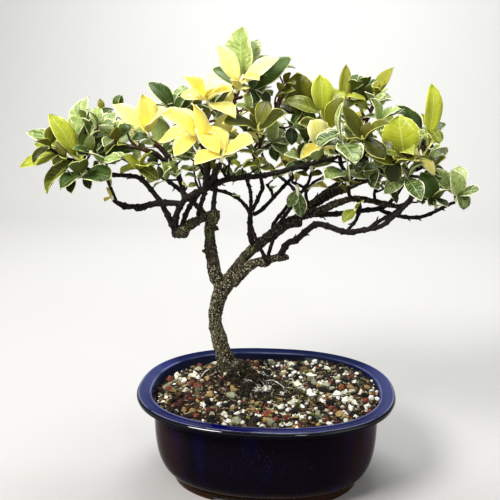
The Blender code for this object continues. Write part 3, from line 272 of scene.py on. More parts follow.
belly = []
for step in range(BELLY_STEPS + 1):
    down = (step / BELLY_STEPS) ** BELLY_STEP_SPREAD
    bulge = (1 - down ** BELLY_TUCK) ** (1 / BELLY_FULLNESS)
    out = FOOT_HALF_LENGTH + (BODY_HALF_LENGTH - FOOT_HALF_LENGTH) * bulge
    belly.append((out, BELLY_TOP - (BELLY_TOP - FOOT_HEIGHT) * down, 0))
pot_corners = [
    (0, FLOOR_TOP, 0), (INNER_HALF_LENGTH - 13, FLOOR_TOP, 5), (INNER_HALF_LENGTH - 3, FLOOR_TOP + 8, 5),
    (INNER_HALF_LENGTH, FLOOR_TOP + 25, 6), (INNER_HALF_LENGTH, FLARE_FROM, 4),
    (OPENING_HALF_LENGTH, 73.7, 1.1), (RIM_HALF_LENGTH - 7.5, 73.6, 3), (RIM_HALF_LENGTH - 2.2, RIM_TOP, 1.6),
    (RIM_HALF_LENGTH, 73.2, 1.2), (RIM_HALF_LENGTH - 1.2, 69.8, 1.1), (BODY_HALF_LENGTH + 1.5, 67.6, 2),
    *belly,
    (FOOT_HALF_LENGTH - 1.2, 7.7, 0.5), (FOOT_HALF_LENGTH, 6.6, 0.8), (FOOT_HALF_LENGTH - 2, 0, 0.8),
    (FOOT_HALF_LENGTH - FOOT_RING, 0, 0.8), (FOOT_HALF_LENGTH - FOOT_RING - 1, 6.5, 1.5), (0, 7, 0),
]
shape = bmesh.new()
outline = [shape.verts.new((out, 0, up)) for out, up in rounded(pot_corners)]
edges = [shape.edges.new(pair) for pair in zip(outline, outline[1:])]
bmesh.ops.spin(
    shape, geom=outline + edges, cent=(0, 0, 0), axis=(0, 0, 1), angle=2 * math.pi, steps=POT_STEPS,
    use_merge=True,
)
bmesh.ops.remove_doubles(shape, verts=shape.verts, dist=0.001)
for corner in shape.verts:
    angle, out = math.atan2(corner.co.y, corner.co.x), math.hypot(corner.co.x, corner.co.y)
    corner.co.x, corner.co.y = on_plan(angle, out)
bmesh.ops.recalc_face_normals(shape, faces=shape.faces)
bmesh.ops.scale(shape, vec=(MM, MM, MM), verts=shape.verts)
pot = loose_object(shape, "fired_pot")


def cut_away(thing, shape):
    """Cuts a shape out of a piece."""
    cutter = loose_object(shape, "cutter")
    cut = thing.modifiers.new("cut", "BOOLEAN")
    cut.operation = "DIFFERENCE"
    cut.object = cutter
    mesh = baked(thing)
    bpy.data.objects.remove(cutter)
    left = bpy.data.objects.new("cut_piece", mesh)
    bpy.context.scene.collection.objects.link(left)
    return left


for width, turn in ((FRONT_ARCH, 0), (END_ARCH, math.pi / 2)):
    shape = bmesh.new()
    bmesh.ops.create_cube(shape, size=1)
    bmesh.ops.scale(
        shape, vec=Vector((width, 4 * FOOT_HALF_LENGTH, 2 * ARCH_HEIGHT)) * MM, verts=shape.verts
    )
    shoulders = [
        edge for edge in shape.edges
        if all(v.co.z > 0 for v in edge.verts) and abs(edge.verts[0].co.y - edge.verts[1].co.y) > width * MM
    ]
    bmesh.ops.bevel(
        shape, geom=shoulders, offset=ARCH_HEIGHT * 0.8 * MM, affect="EDGES", segments=8, profile=0.5,
        material=-1,
    )
    bmesh.ops.rotate(shape, verts=shape.verts, matrix=Matrix.Rotation(turn, 3, "Z"))
    pot = cut_away(pot, shape)
for side in (-1, 1):
    shape = bmesh.new()
    bmesh.ops.create_cone(
        shape, cap_ends=True, segments=40, radius1=DRAIN_HOLE / 2 * MM, radius2=DRAIN_HOLE / 2 * MM,
        depth=2 * FLOOR_TOP * MM,
    )
    bmesh.ops.translate(shape, vec=Vector((side * DRAIN_OUT, 0, FLOOR_TOP)) * MM, verts=shape.verts)
    pot = cut_away(pot, shape)
mesh = baked(pot)
mesh.transform(Matrix.Translation(POT_MIDDLE))
mesh.shade_smooth()
mesh.set_sharp_from_angle(angle=SHARP_FROM)

GLAZE = Paint("cobalt glaze", specular_ior_level=0.015, coat_roughness=0.05)
place = GLAZE.place()
x, y, z = GLAZE.parts(place)
from_middle_x, from_middle_y = abs(x - POT_MIDDLE.x), abs(y - POT_MIDDLE.y)
out_along = from_middle_x / (RIM_HALF_LENGTH * MM)
out_aside = from_middle_y / ((RIM_HALF_LENGTH - HALF_DEPTH_LESS) * MM)
outwards = (out_along ** PLAN_POWER + out_aside ** PLAN_POWER) ** (1 / PLAN_POWER)
away = (from_middle_x ** 2 + from_middle_y ** 2) ** 0.5
inset = away / outwards - away
# A streaky noise: the glaze's runs at the foot and lip, and the painted reflection streaks on the belly.
glaze_runs_and_glints = GLAZE.noise(GLAZE.vector(x, y, z * 0.2), 60, 4)
clouds = GLAZE.noise(place, 28, 3)
# Painted reflection: towards its ends the belly turns brown, as a brown table would show in the glaze.
towards_end = GLAZE.smooth(out_along + (clouds - 0.5) * 0.3, 0.48, 0.9)
belly_colour = GLAZE.blend(towards_end, colour(12, 8, 18), colour(42, 24, 24))
# Painted reflection: faint blue glints streak the belly.
belly_colour = GLAZE.blend(GLAZE.smooth(glaze_runs_and_glints, 0.5, 0.78) * 0.5, belly_colour, colour(16, 14, 80))
foot_break = GLAZE.smooth(z + (glaze_runs_and_glints - 0.5) * 0.012, 0.018, 0.008)
belly_colour = GLAZE.blend(foot_break * 0.85, belly_colour, colour(52, 34, 20))
# Painted reflection: towards its ends the rim turns slate blue, as a pale sky and wall would show in it.
rim_end_reflection = GLAZE.smooth(out_along + (clouds - 0.5) * 0.3, 0.66, 0.98)
rim_colour = GLAZE.blend(rim_end_reflection, colour(0, 2, 66), colour(54, 60, 102))
rim_colour = GLAZE.blend(GLAZE.smooth(clouds, 0.45, 0.7) * 0.5, rim_colour, colour(1, 4, 92))
# Painted shade: the back of the rim, under the crown, is made darker and duller.
behind = GLAZE.smooth(y, POT_MIDDLE.y + 0.03, POT_MIDDLE.y + 0.06)
rim_colour = GLAZE.blend(behind * 0.85, rim_colour, colour(20, 28, 58))
# The rim's two pale lines: partly glaze broken thin at its edges, partly painted highlight along them.
inner_edge = GLAZE.smooth(abs(inset - INNER_LINE), 0.001, 0.0003) * GLAZE.smooth(clouds, 0.3, 0.55)
outer_edge = GLAZE.smooth(abs(inset - OUTER_LINE), 0.0008, 0.0002) * GLAZE.smooth(glaze_runs_and_glints, 0.35, 0.55)
rim_colour = GLAZE.blend((inner_edge * 0.35).top(outer_edge * 0.35), rim_colour, colour(150, 156, 186))
# Painted shade: past the opening the inner wall is made dark, as the shade inside the pot.
rim_colour = GLAZE.blend(GLAZE.smooth(inset, 0.0118, 0.0132), rim_colour, colour(16, 18, 34))
# Painted shade and dark reflection: the lip's outer face, turned down under the rim's edge, is made near
# black.
lip_colour = GLAZE.blend(GLAZE.smooth(inset, 0.0014, 0.002), colour(6, 6, 14), rim_colour)
glaze_colour = GLAZE.blend(GLAZE.smooth(z, 0.0662, 0.0685), belly_colour, lip_colour)
specks = GLAZE.smooth(GLAZE.noise(place, 900, 2), 0.66, 0.74)
glaze_colour = GLAZE.blend(specks * 0.3, glaze_colour, colour(80, 76, 92))
bare_foot = GLAZE.smooth(z, 0.0012, 0.0004)
GLAZE.set("Base Color", GLAZE.blend(bare_foot, glaze_colour, colour(120, 84, 60)))
GLAZE.set("Roughness", bare_foot * 0.6 + clouds * 0.1 + 0.05)
lip = GLAZE.smooth(inset, 0.0026, 0.0016) * GLAZE.smooth(z, 0.0722, 0.0732)
GLAZE.set("Coat Weight", lip * 0.95 + GLAZE.smooth(glaze_runs_and_glints, 0.6, 0.8) * 0.1)
GLAZE.bump(clouds * 0.8 + glaze_runs_and_glints * 0.3 + specks * 0.05, 0.2, 0.0006)
fired_pot = object_of(mesh, "glazed_pot", [GLAZE.material], "glazed_clay")
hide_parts("pot")


# Drain netting
# A square pad of black plastic netting over each drain hole keeps the grit in. The two pads keep
# the CAD's shape and get a scuffed plastic finish with grit dust caught on it.

NETTING = Paint("drain netting", specular_ior_level=0.4)
place = NETTING.place()
dust = NETTING.smooth(NETTING.noise(place, 420, 4), 0.48, 0.7)
NETTING.set("Base Color", NETTING.blend(dust * 0.6, colour(22, 23, 22), colour(112, 98, 80)))
NETTING.set("Roughness", dust * 0.3 + 0.5)
NETTING.bump(NETTING.noise(place, 900, 2), 0.3, 0.0003)
for name in ("drain_mesh_left", "drain_mesh_right"):
    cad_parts[name].material_slots[0].material = NETTING.material


# Trunk and branches
# One grown piece of wood: a slim leaning trunk with flared roots, two main limbs cut back to stumps,
# and long knobbly side branches. The bark is grey-brown and cracked, dotted with pale pores, and the
# cut knuckles carry a little moss.

# The picture's camera: how it stands, in mm, to its target, a point on the ground near the pot's middle.
TARGET = Vector((9.5, -13, 0)) * MM
FOCAL_PIXELS = 695.0
PICTURE_MIDDLE = 250.0
CAMERA_HEIGHT = 306
CAMERA_AWAY = 518
CAMERA_LEFT = 11.3
CAMERA_TILT = math.radians(12.96)
CAMERA_TURN = math.radians(5.0)


def from_picture(across, down, behind):
    """The point that shows at pixel (across, down) and lies so many mm behind the target."""
    right = (across - PICTURE_MIDDLE) / FOCAL_PIXELS
    drop = (down - PICTURE_MIDDLE) / FOCAL_PIXELS
    reach = (CAMERA_AWAY + behind) / (math.cos(CAMERA_TILT) - drop * math.sin(CAMERA_TILT))
    side = reach * right - CAMERA_LEFT
    height = CAMERA_HEIGHT - reach * (math.sin(CAMERA_TILT) + drop * math.cos(CAMERA_TILT))
    return TARGET + Vector(
        (
            side * math.cos(CAMERA_TURN) - behind * math.sin(CAMERA_TURN),
            side * math.sin(CAMERA_TURN) + behind * math.cos(CAMERA_TURN),
            height,
        )
    ) * MM


# Each route is a list of points (across, down, mm behind the target, mm thick).
ROUTES = {
    "trunk": [
        (234, 386, 27, 19), (233, 376, 27, 20), (230.5, 368, 27, 18), (226, 360, 26.5, 14.6),
        (221.8, 348, 26, 12.8), (219, 337, 24, 13), (215.4, 323, 22, 10.8), (216, 309, 20, 11.4),
        (219.6, 296, 18, 12.6), (224, 284, 16, 14),
    ],
    "root_right": [(232, 368, 26, 13), (240, 366, 20, 10), (249, 372, 10, 6.5), (256, 381, 2, 4)],
    "root_front": [(231, 369, 24, 12), (232, 375, 17, 7), (237, 383, 7, 4)],
    "root_left": [(229, 367, 26, 11), (219, 367, 27, 7), (210, 371, 27, 4)],
    "left_trunk": [
        (222.5, 286, 16, 12.5), (215.6, 275, 14.5, 11), (212.8, 262, 12.5, 9.9), (210.5, 245, 9.5, 8.6),
        (209.8, 229, 6, 8.2), (212.5, 219, 4, 9.2),
    ],
    "stump_cut": [
        (206, 222, 3, 6), (211, 217.5, 4, 10), (215, 215.5, 5, 11), (218.5, 214.8, 5, 8.4),
        (220, 214.5, 5, 5),
    ],
    "stump_nub": [(209, 231, 5, 5), (219, 228, 4, 3)],
    "left_nub": [(209, 250, 9, 5), (202.5, 252, 9, 3)],
    "left_arm": [
        (212, 221, 3, 7), (206, 217.5, 1, 6.6), (196, 221.5, -3, 7), (187, 227, -6, 8.5),
        (180, 231.5, -8, 10.6), (174, 233, -9, 8), (171.5, 233.5, -9, 4.6),
    ],
    "knuckle_cut": [(183, 229, -7, 8), (184, 233, -9, 9), (184, 236, -9, 7.4), (184, 238, -9, 4)],
    "to_far_left": [
        (176, 232, -9, 6), (165.5, 211, -12, 4.6), (157, 197, -14, 4.2), (141, 179, -16, 3.8),
        (130, 176, -17, 3.6), (108, 174.5, -19, 3.2), (95, 172, -20, 2.9), (84, 167, -20, 2.6),
    ],
    "outer_arch": [
        (175, 230, -9, 5.4), (176.5, 215, -13, 5), (183, 202, -19, 4.8), (192.5, 194.5, -24, 4.6),
        (209, 187.5, -28, 4.6), (227, 179.5, -31, 4.4), (263, 175.5, -34, 3.9), (287, 170, -33, 3.7),
        (325, 160, -30, 3),
    ],
    "inner_arch": [(181, 229, -6, 4.4), (186, 214, -9, 4.1), (192.5, 202, -16, 3.8), (201, 191, -26, 3.6)],
    "stump_riser": [(200, 219, 0, 4), (198.5, 213, -3, 3.8), (202, 201, -13, 3.7), (206, 189, -27, 3.5)],
    "knobby_left": [
        (182, 203.5, -18, 4.2), (161, 203, -16, 5.4), (149, 205, -13, 4.4), (140, 207.5, -11, 5.8),
        (133, 206.6, -9, 4), (124.5, 206, -7, 5.2), (114, 201, -5, 3.2),
    ],
    "knobby_twig": [(117, 203, -6, 2.4), (114, 195, -6, 2.2), (110.5, 187, -8, 2.1), (105, 176, -17, 2)],
    "to_yellow_left": [
        (184.5, 199, -20, 4.2), (181.5, 184, -12, 4.1), (176, 171, -5, 4.6), (168.5, 158, 0, 4.3),
        (162, 149.5, 3, 4.7), (155.5, 144, 4, 3.8), (150.5, 140, 5, 3),
    ],
    "to_left_middle": [
        (176, 171, -5, 4.2), (164, 160.5, -11, 3.9), (153, 152.5, -13, 3.6), (139, 148.5, -14, 2.9),
    ],
    "to_green_pair": [(178, 173, -6, 2.6), (174, 159, 4, 2.4), (174, 143, 16, 2.3), (176, 126, 27, 2.1)],
    "to_yellow_front": [
        (205, 189, -28, 4.6), (206.5, 177, -35, 4.8), (207.5, 165, -43, 4.7), (206, 153, -50, 3.4),
        (201, 145, -54, 2.6),
    ],
    "to_pale_front": [
        (208, 184.5, -28, 4), (213.5, 175.5, -38, 4.2), (218.5, 167.5, -50, 3.8), (220, 163.5, -56, 2.8),
    ],
    "right_main": [
        (224, 288, 16, 13), (229, 280.5, 15, 12), (236.5, 269.5, 12, 10), (244.5, 257.5, 9, 8.2),
        (253.5, 248.5, 6, 8.4), (263, 241, 3, 8.2), (285, 225, -2, 9.2), (293, 222, -3, 9.4),
        (302, 221.5, -4, 7.8),
    ],
    "right_riser": [
        (286, 226, -2, 7.2), (303, 213, 4, 7), (316, 203, 8, 7), (330, 194, 10, 7),
        (348, 186.5, 12, 7.2), (368, 176, 15, 5.4), (374, 165, 17, 4),
    ],
    "right_second": [
        (299, 217, 3, 6.6), (317, 211.5, -3, 6.2), (345, 200.5, -10, 5.2), (358, 198.5, -13, 5),
        (383, 203.5, -17, 4.2), (398, 206.5, -17, 3.6), (409, 201.5, -15, 3.2), (417, 190, -10, 2.8),
    ],
    "low_right": [
        (232, 283, 14, 9.5), (240.5, 274, 9, 9), (248.5, 266.8, 4, 7.6), (257, 262, -2, 6.8),
        (265, 261.6, -6, 8.4), (270.5, 259.5, -8, 6.4), (277, 258, -10, 5.6), (284, 257.5, -12, 5.4),
        (287, 257, -12.6, 5.6), (289, 256.8, -13, 3.4),
    ],
    "low_rise": [
        (279, 258, -10, 5.8), (287.5, 243.5, -14, 5.1), (296, 240, -18, 5.1), (312, 226.5, -24, 4.9),
        (322, 224.6, -28, 4.7), (345, 232, -35, 4.3), (361, 230.5, -38, 4), (381, 226, -41, 3.6),
        (393, 217, -41, 3.3), (405, 206, -39, 3), (411, 196, -36, 2.7),
    ],
    "low_twin": [(368, 229, -39, 3), (381, 220, -33, 2.9), (392, 214.5, -26, 2.8), (400, 207.5, -18, 2.7)],
    "right_third": [
        (311, 214.5, -1, 4.8), (335, 214, 0, 4.4), (361, 210.6, 0, 4), (381, 208, -1, 3.8),
        (393, 199, 3, 3.2), (409, 176, 12, 2.5),
    ],
    "far_right_run": [
        (378, 208, -1, 3.6), (386, 212.5, -4, 3.5), (402, 216.5, -7, 3.3), (417, 217.5, -9, 3.2),
        (430, 214, -10, 3), (443, 207.5, -10, 2.8), (452, 203, -10, 2.6),
    ],
    "knot_drop": [(358, 199, -13, 3.4), (359.5, 208, -20, 3), (356, 220, -29, 2.7), (347, 231, -35, 2.8)],
    "knot_up_left": [(352, 186, 12, 4), (346, 174, 8, 3.4), (341, 164, -4, 3), (340, 155, -20, 2.6)],
    "knot_up_mid": [(362, 183, 13, 4.2), (361, 172, 8, 3.6), (364, 162, -6, 3), (364, 155, -22, 2.7)],
    "knot_up_right": [(368, 178, 14, 4), (384, 172, 8, 3.4), (394, 170, -4, 3), (401, 170, -15, 2.6)],
    "knot_up_back": [(370, 173, 15, 3.6), (366, 155, 20, 3.2), (364, 135, 22, 2.9), (367, 120, 21, 2.6)],
    "middle_stem": [(254, 246, 5, 5), (250.5, 237, 1, 4.4), (250, 224, -4, 4.2), (250.5, 213, -8, 4)],
    "middle_left": [
        (250.5, 215, -8, 3.2), (247, 208, -10, 3), (240, 200, -13, 2.9), (229, 193.5, -18, 2.9),
        (217, 190, -24, 2.8), (208, 188, -28, 2.8),
    ],
    "middle_up": [(250.5, 214, -8, 3), (251, 200, -12, 2.8), (250, 190, -19, 2.7), (246, 178, -32, 2.6)],
    "top_stem": [
        (252, 211, -8, 3.2), (260, 194, -2, 3.1), (262, 183, 2, 3.1), (250, 143, 3, 3),
        (235.5, 108, -3, 2.8), (236, 97, -5, 2.6),
    ],
    "middle_right": [
        (253, 214.5, -7, 3.6), (263, 208.5, -4, 3.4), (291, 179, 2, 2.9), (303, 172, 5, 2.8),
        (315, 160, 8, 2.6), (320, 140, 8, 2.4),
    ],
    "hook": [(273, 199, -3, 2.6), (271.5, 191, -9, 2.4), (266.5, 184.5, -14, 2.1)],
    "crossing": [
        (250, 222, -4, 3), (253.5, 233, -13, 3), (259.5, 246, -16, 3), (264, 256, -13, 3.2),
        (266, 262, -7, 3.4),
    ],
    "short_link": [(268, 257, -7, 3.2), (271.5, 244, -6, 3), (274, 233, -1, 2.8)],
    "back_link": [
        (273, 232, 0, 3.4), (275, 222, 6, 3.2), (293, 198, 17, 3), (292, 187, 24, 2.7),
        (272, 170, 48, 2.5), (262, 155, 60, 2.4),
    ],
    "front_link": [(278, 229, 0, 3.4), (283, 218, -7, 3.1), (290, 209, -11, 2.9), (299, 195, -15, 2.6)],
    "high_twig": [(308, 210, 6, 3), (306, 196, 2, 2.8), (304, 188, 0, 2.6), (292, 182, -3, 2.4)],
    "high_twin": [(306, 192, 1, 2.6), (313, 183, 4, 2.4), (322, 178, 6, 2.4), (331, 174, 2, 2.3)],
    "olive_stem": [(254, 157, 3, 2.6), (260, 146, -12, 2.4), (260, 139, -24, 2.2)],
    "top_fork": [(253, 150, 4, 2.6), (264, 135, 6, 2.3), (271, 125, 7, 2.2), (276, 114, 8, 2)],
    "rear_left": [
        (207, 217, 6, 5), (196, 205, 22, 4.4), (180, 190, 38, 3.8), (160, 176, 52, 3.3),
        (140, 168, 60, 2.9), (122, 158, 62, 2.6),
    ],
    "rear_middle": [
        (213, 217, 8, 4.6), (214, 200, 26, 4), (216, 180, 44, 3.5), (212, 162, 58, 3), (205, 148, 66, 2.6),
    ],
    "rear_right": [
        (300, 216, 6, 5.4), (312, 203, 24, 4.6), (328, 190, 42, 4), (346, 178, 56, 3.5),
        (366, 168, 64, 3), (386, 160, 68, 2.6),
    ],
    "rear_far_right": [(330, 193, 14, 4.6), (354, 185, 30, 3.8), (380, 176, 42, 3.2), (404, 166, 48, 2.7)],
}
GROUND_ROUTES = ("trunk", "root_right", "root_front", "root_left")
LIMBS = GROUND_ROUTES + (
    "left_trunk", "stump_cut", "stump_nub", "knuckle_cut", "left_nub", "left_arm", "right_main",
    "right_riser", "right_second", "low_right",
)
LIMB_VOXEL = 0.62 * MM
LIMB_SPACING = 1.5
LIMB_SMOOTHINGS = 4
RING_SPACING = 1.1
NODE_SPACING = (7, 13)
NODE_SWELL = 0.3
NODE_REACH = 0.95
FELT_AT_TRUNK = (254, 374, 12)
# Where moss sits on the wood: (across, down, mm behind the target, mm from its middle to its edge).
MOSSY_SPOTS = ((184, 229, -7, 8), (214, 217, 4, 10), (210, 232, 6, 9), (250, 247, 6, 7), (228, 272, 15, 6))


def even_path(points, thicknesses, spacing):
    """A smooth path through the points, with a point every so many millimetres."""
    places, widths = [], []
    last = len(points) - 1
    for number in range(last):
        one, two = points[number], points[number + 1]
        before = points[max(number - 1, 0)]
        after = points[min(number + 2, last)]
        steps = max(int((two - one).length / MM / spacing), 1)
        for step in range(steps):
            t = step / steps
            places.append(0.5 * (
                2 * one + (two - before) * t + (2 * before - 5 * one + 4 * two - after) * t * t
                + (3 * one - before - 3 * two + after) * t ** 3
            ))
            widths.append(thicknesses[number] * (1 - t) + thicknesses[number + 1] * t)
    return places + [points[-1]], widths + [thicknesses[-1]]


def swollen(places, widths, draw):
    """Swells a twig at its leaf nodes, and says where they are."""
    at_nodes = []
    next_node = draw.uniform(*NODE_SPACING)
    travelled = [0.0]
    for one, two in zip(places, places[1:]):
        travelled.append(travelled[-1] + (two - one).length / MM)
    while next_node < travelled[-1] - 2:
        nearest = min(range(len(places)), key=lambda n: abs(travelled[n] - next_node))
        at_nodes.append(nearest)
        next_node += draw.uniform(*NODE_SPACING)
    new_widths = []
    for number, width in enumerate(widths):
        swell = sum(math.exp(-((travelled[number] - travelled[n]) / NODE_REACH) ** 2) for n in at_nodes)
        new_widths.append(width * (0.95 + NODE_SWELL * min(swell, 1) + draw.uniform(-0.03, 0.03)))
    return new_widths, at_nodes


def tubes(name, lines, resolution):
    """Round tapering tubes through lists of (places, widths), as one mesh with closed ends."""
    curve = bpy.data.curves.new(name, "CURVE")
    curve.dimensions = "3D"
    curve.bevel_depth = MM / 2
    curve.bevel_resolution = resolution
    curve.use_fill_caps = True
    for places, widths in lines:
        spline = curve.splines.new("POLY")
        spline.points.add(len(places) - 1)
        for control, spot, width in zip(spline.points, places, widths):
            control.co = (*spot, 1)
            control.radius = width
    thing = bpy.data.objects.new(name, curve)
    bpy.context.scene.collection.objects.link(thing)
    mesh = baked(thing)
    shape = bmesh.new()
    shape.from_mesh(mesh)
    bmesh.ops.remove_doubles(shape, verts=shape.verts, dist=0.00001 * MM)
    return shape


def shade_round(shape):
    """Has every face of a shape shaded as part of a rounded surface."""
    for face in shape.faces:
        face.smooth = True


def route_line(name):
    """The places of a route's points, and its thicknesses there in mm."""
    return [from_picture(*point[:3]) for point in ROUTES[name]], [point[3] for point in ROUTES[name]]


limb_lines = [even_path(*route_line(name), LIMB_SPACING) for name in LIMBS]
limbs = loose_object(tubes("limbs", limb_lines, 5), "limbs")
grown = limbs.modifiers.new("grown together", "REMESH")
grown.mode = "VOXEL"
grown.voxel_size = LIMB_VOXEL
shape = bmesh.new()
shape.from_mesh(baked(limbs))
for smoothing in range(LIMB_SMOOTHINGS):
    bmesh.ops.smooth_vert(
        shape, verts=shape.verts, factor=0.5, use_axis_x=True, use_axis_y=True, use_axis_z=True
    )
shape.normal_update()
for corner in shape.verts:
    spot = corner.co / MM
    plates = noise.noise(Vector((spot.x * 0.5, spot.y * 0.5, spot.z * 0.17)))
    cracks = abs(noise.noise(Vector((spot.x * 1.1, spot.y * 1.1, spot.z * 0.32))))
    lumps = noise.noise(spot * 0.13)
    grain = noise.noise(spot * 1.5)
    warts = max(noise.noise(spot * 0.8), 0)
    raised = 0.75 * lumps + 0.5 * plates - 0.9 * cracks + 0.25 * grain + 0.9 * warts + 0.05
    corner.co += corner.normal * raised * MM
shade_round(shape)

BARK = Paint("trunk bark", specular_ior_level=0.3)
place = BARK.place()
x, y, z = BARK.parts(place)
streaks = BARK.noise(BARK.vector(x, y, z * 0.3), 420, 5, 0.65)
patches = BARK.noise(place, 85, 4)
bark_colour = BARK.blend(BARK.smooth(streaks, 0.36, 0.64), colour(14, 11, 7), colour(84, 76, 52))
bark_colour = BARK.blend(BARK.smooth(patches, 0.5, 0.68) * 0.4, bark_colour, colour(132, 124, 92))
higher_up = BARK.smooth(z + (patches - 0.5) * 0.06, 0.152, 0.196)
bark_colour = BARK.blend(higher_up * 0.72, bark_colour, colour(30, 23, 18))
moss = 0.0
for across, down, behind, size in MOSSY_SPOTS:
    away = BARK.distance(place, from_picture(across, down, behind))
    moss = BARK.smooth(away, size * MM, size * 0.4 * MM) + moss
tufts = BARK.noise(place, 640, 4, 0.65)
moss = moss * BARK.smooth(tufts + (patches - 0.5) * 0.3, 0.43, 0.54)
moss_colour = BARK.blend(BARK.smooth(tufts, 0.52, 0.72), colour(80, 88, 38), colour(156, 160, 110))
bark_colour = BARK.blend(moss * 0.95, bark_colour, moss_colour)
pores = BARK.cells(place, 600, "Distance")
pore = BARK.smooth(pores + (streaks - 0.5) * 0.6, 0.4, 0.2) * (1 - higher_up * 0.75)
bark_colour = BARK.blend(pore * 0.85, bark_colour, colour(214, 205, 172))
cracked = BARK.smooth(BARK.noise(BARK.vector(x, y, z * 0.35), 700, 4, 0.6), 0.5, 0.39)
bark_colour = BARK.blend(cracked * 0.9, bark_colour, colour(13, 10, 8))
# Down at the soil, and on the right where it goes under the dark felt of roots, the bark is darker.
soil_line = BARK.smooth(z + (patches - 0.5) * 0.01, 0.092, 0.078)
from_felt = BARK.distance(place, from_picture(*FELT_AT_TRUNK))
darker_at_soil = (soil_line * 0.7).top(BARK.smooth(from_felt + (patches - 0.5) * 0.02, 0.024, 0.015) * 0.7)
BARK.set("Base Color", BARK.blend(darker_at_soil, bark_colour, colour(30, 27, 18)))
BARK.set("Roughness", 0.95 - pore * 0.15)
BARK.bump(streaks - cracked * 0.5 + pore * 0.4, 0.6, 0.0008)
limb_piece = object_of(shape, "trunk_and_limbs", [BARK.material], "bark")
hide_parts("trunk_and_branches")


# Leafy sprays
# New shoots, reddish at the foot, with leaves in crossed pairs. Every leaf is leathery, folded along
# its midrib and arched; by shoot they are butter yellow, lime, olive, dark green with a fine cream
# edge, or grey-green broken up by cream. Each shoot stands on its own twig.

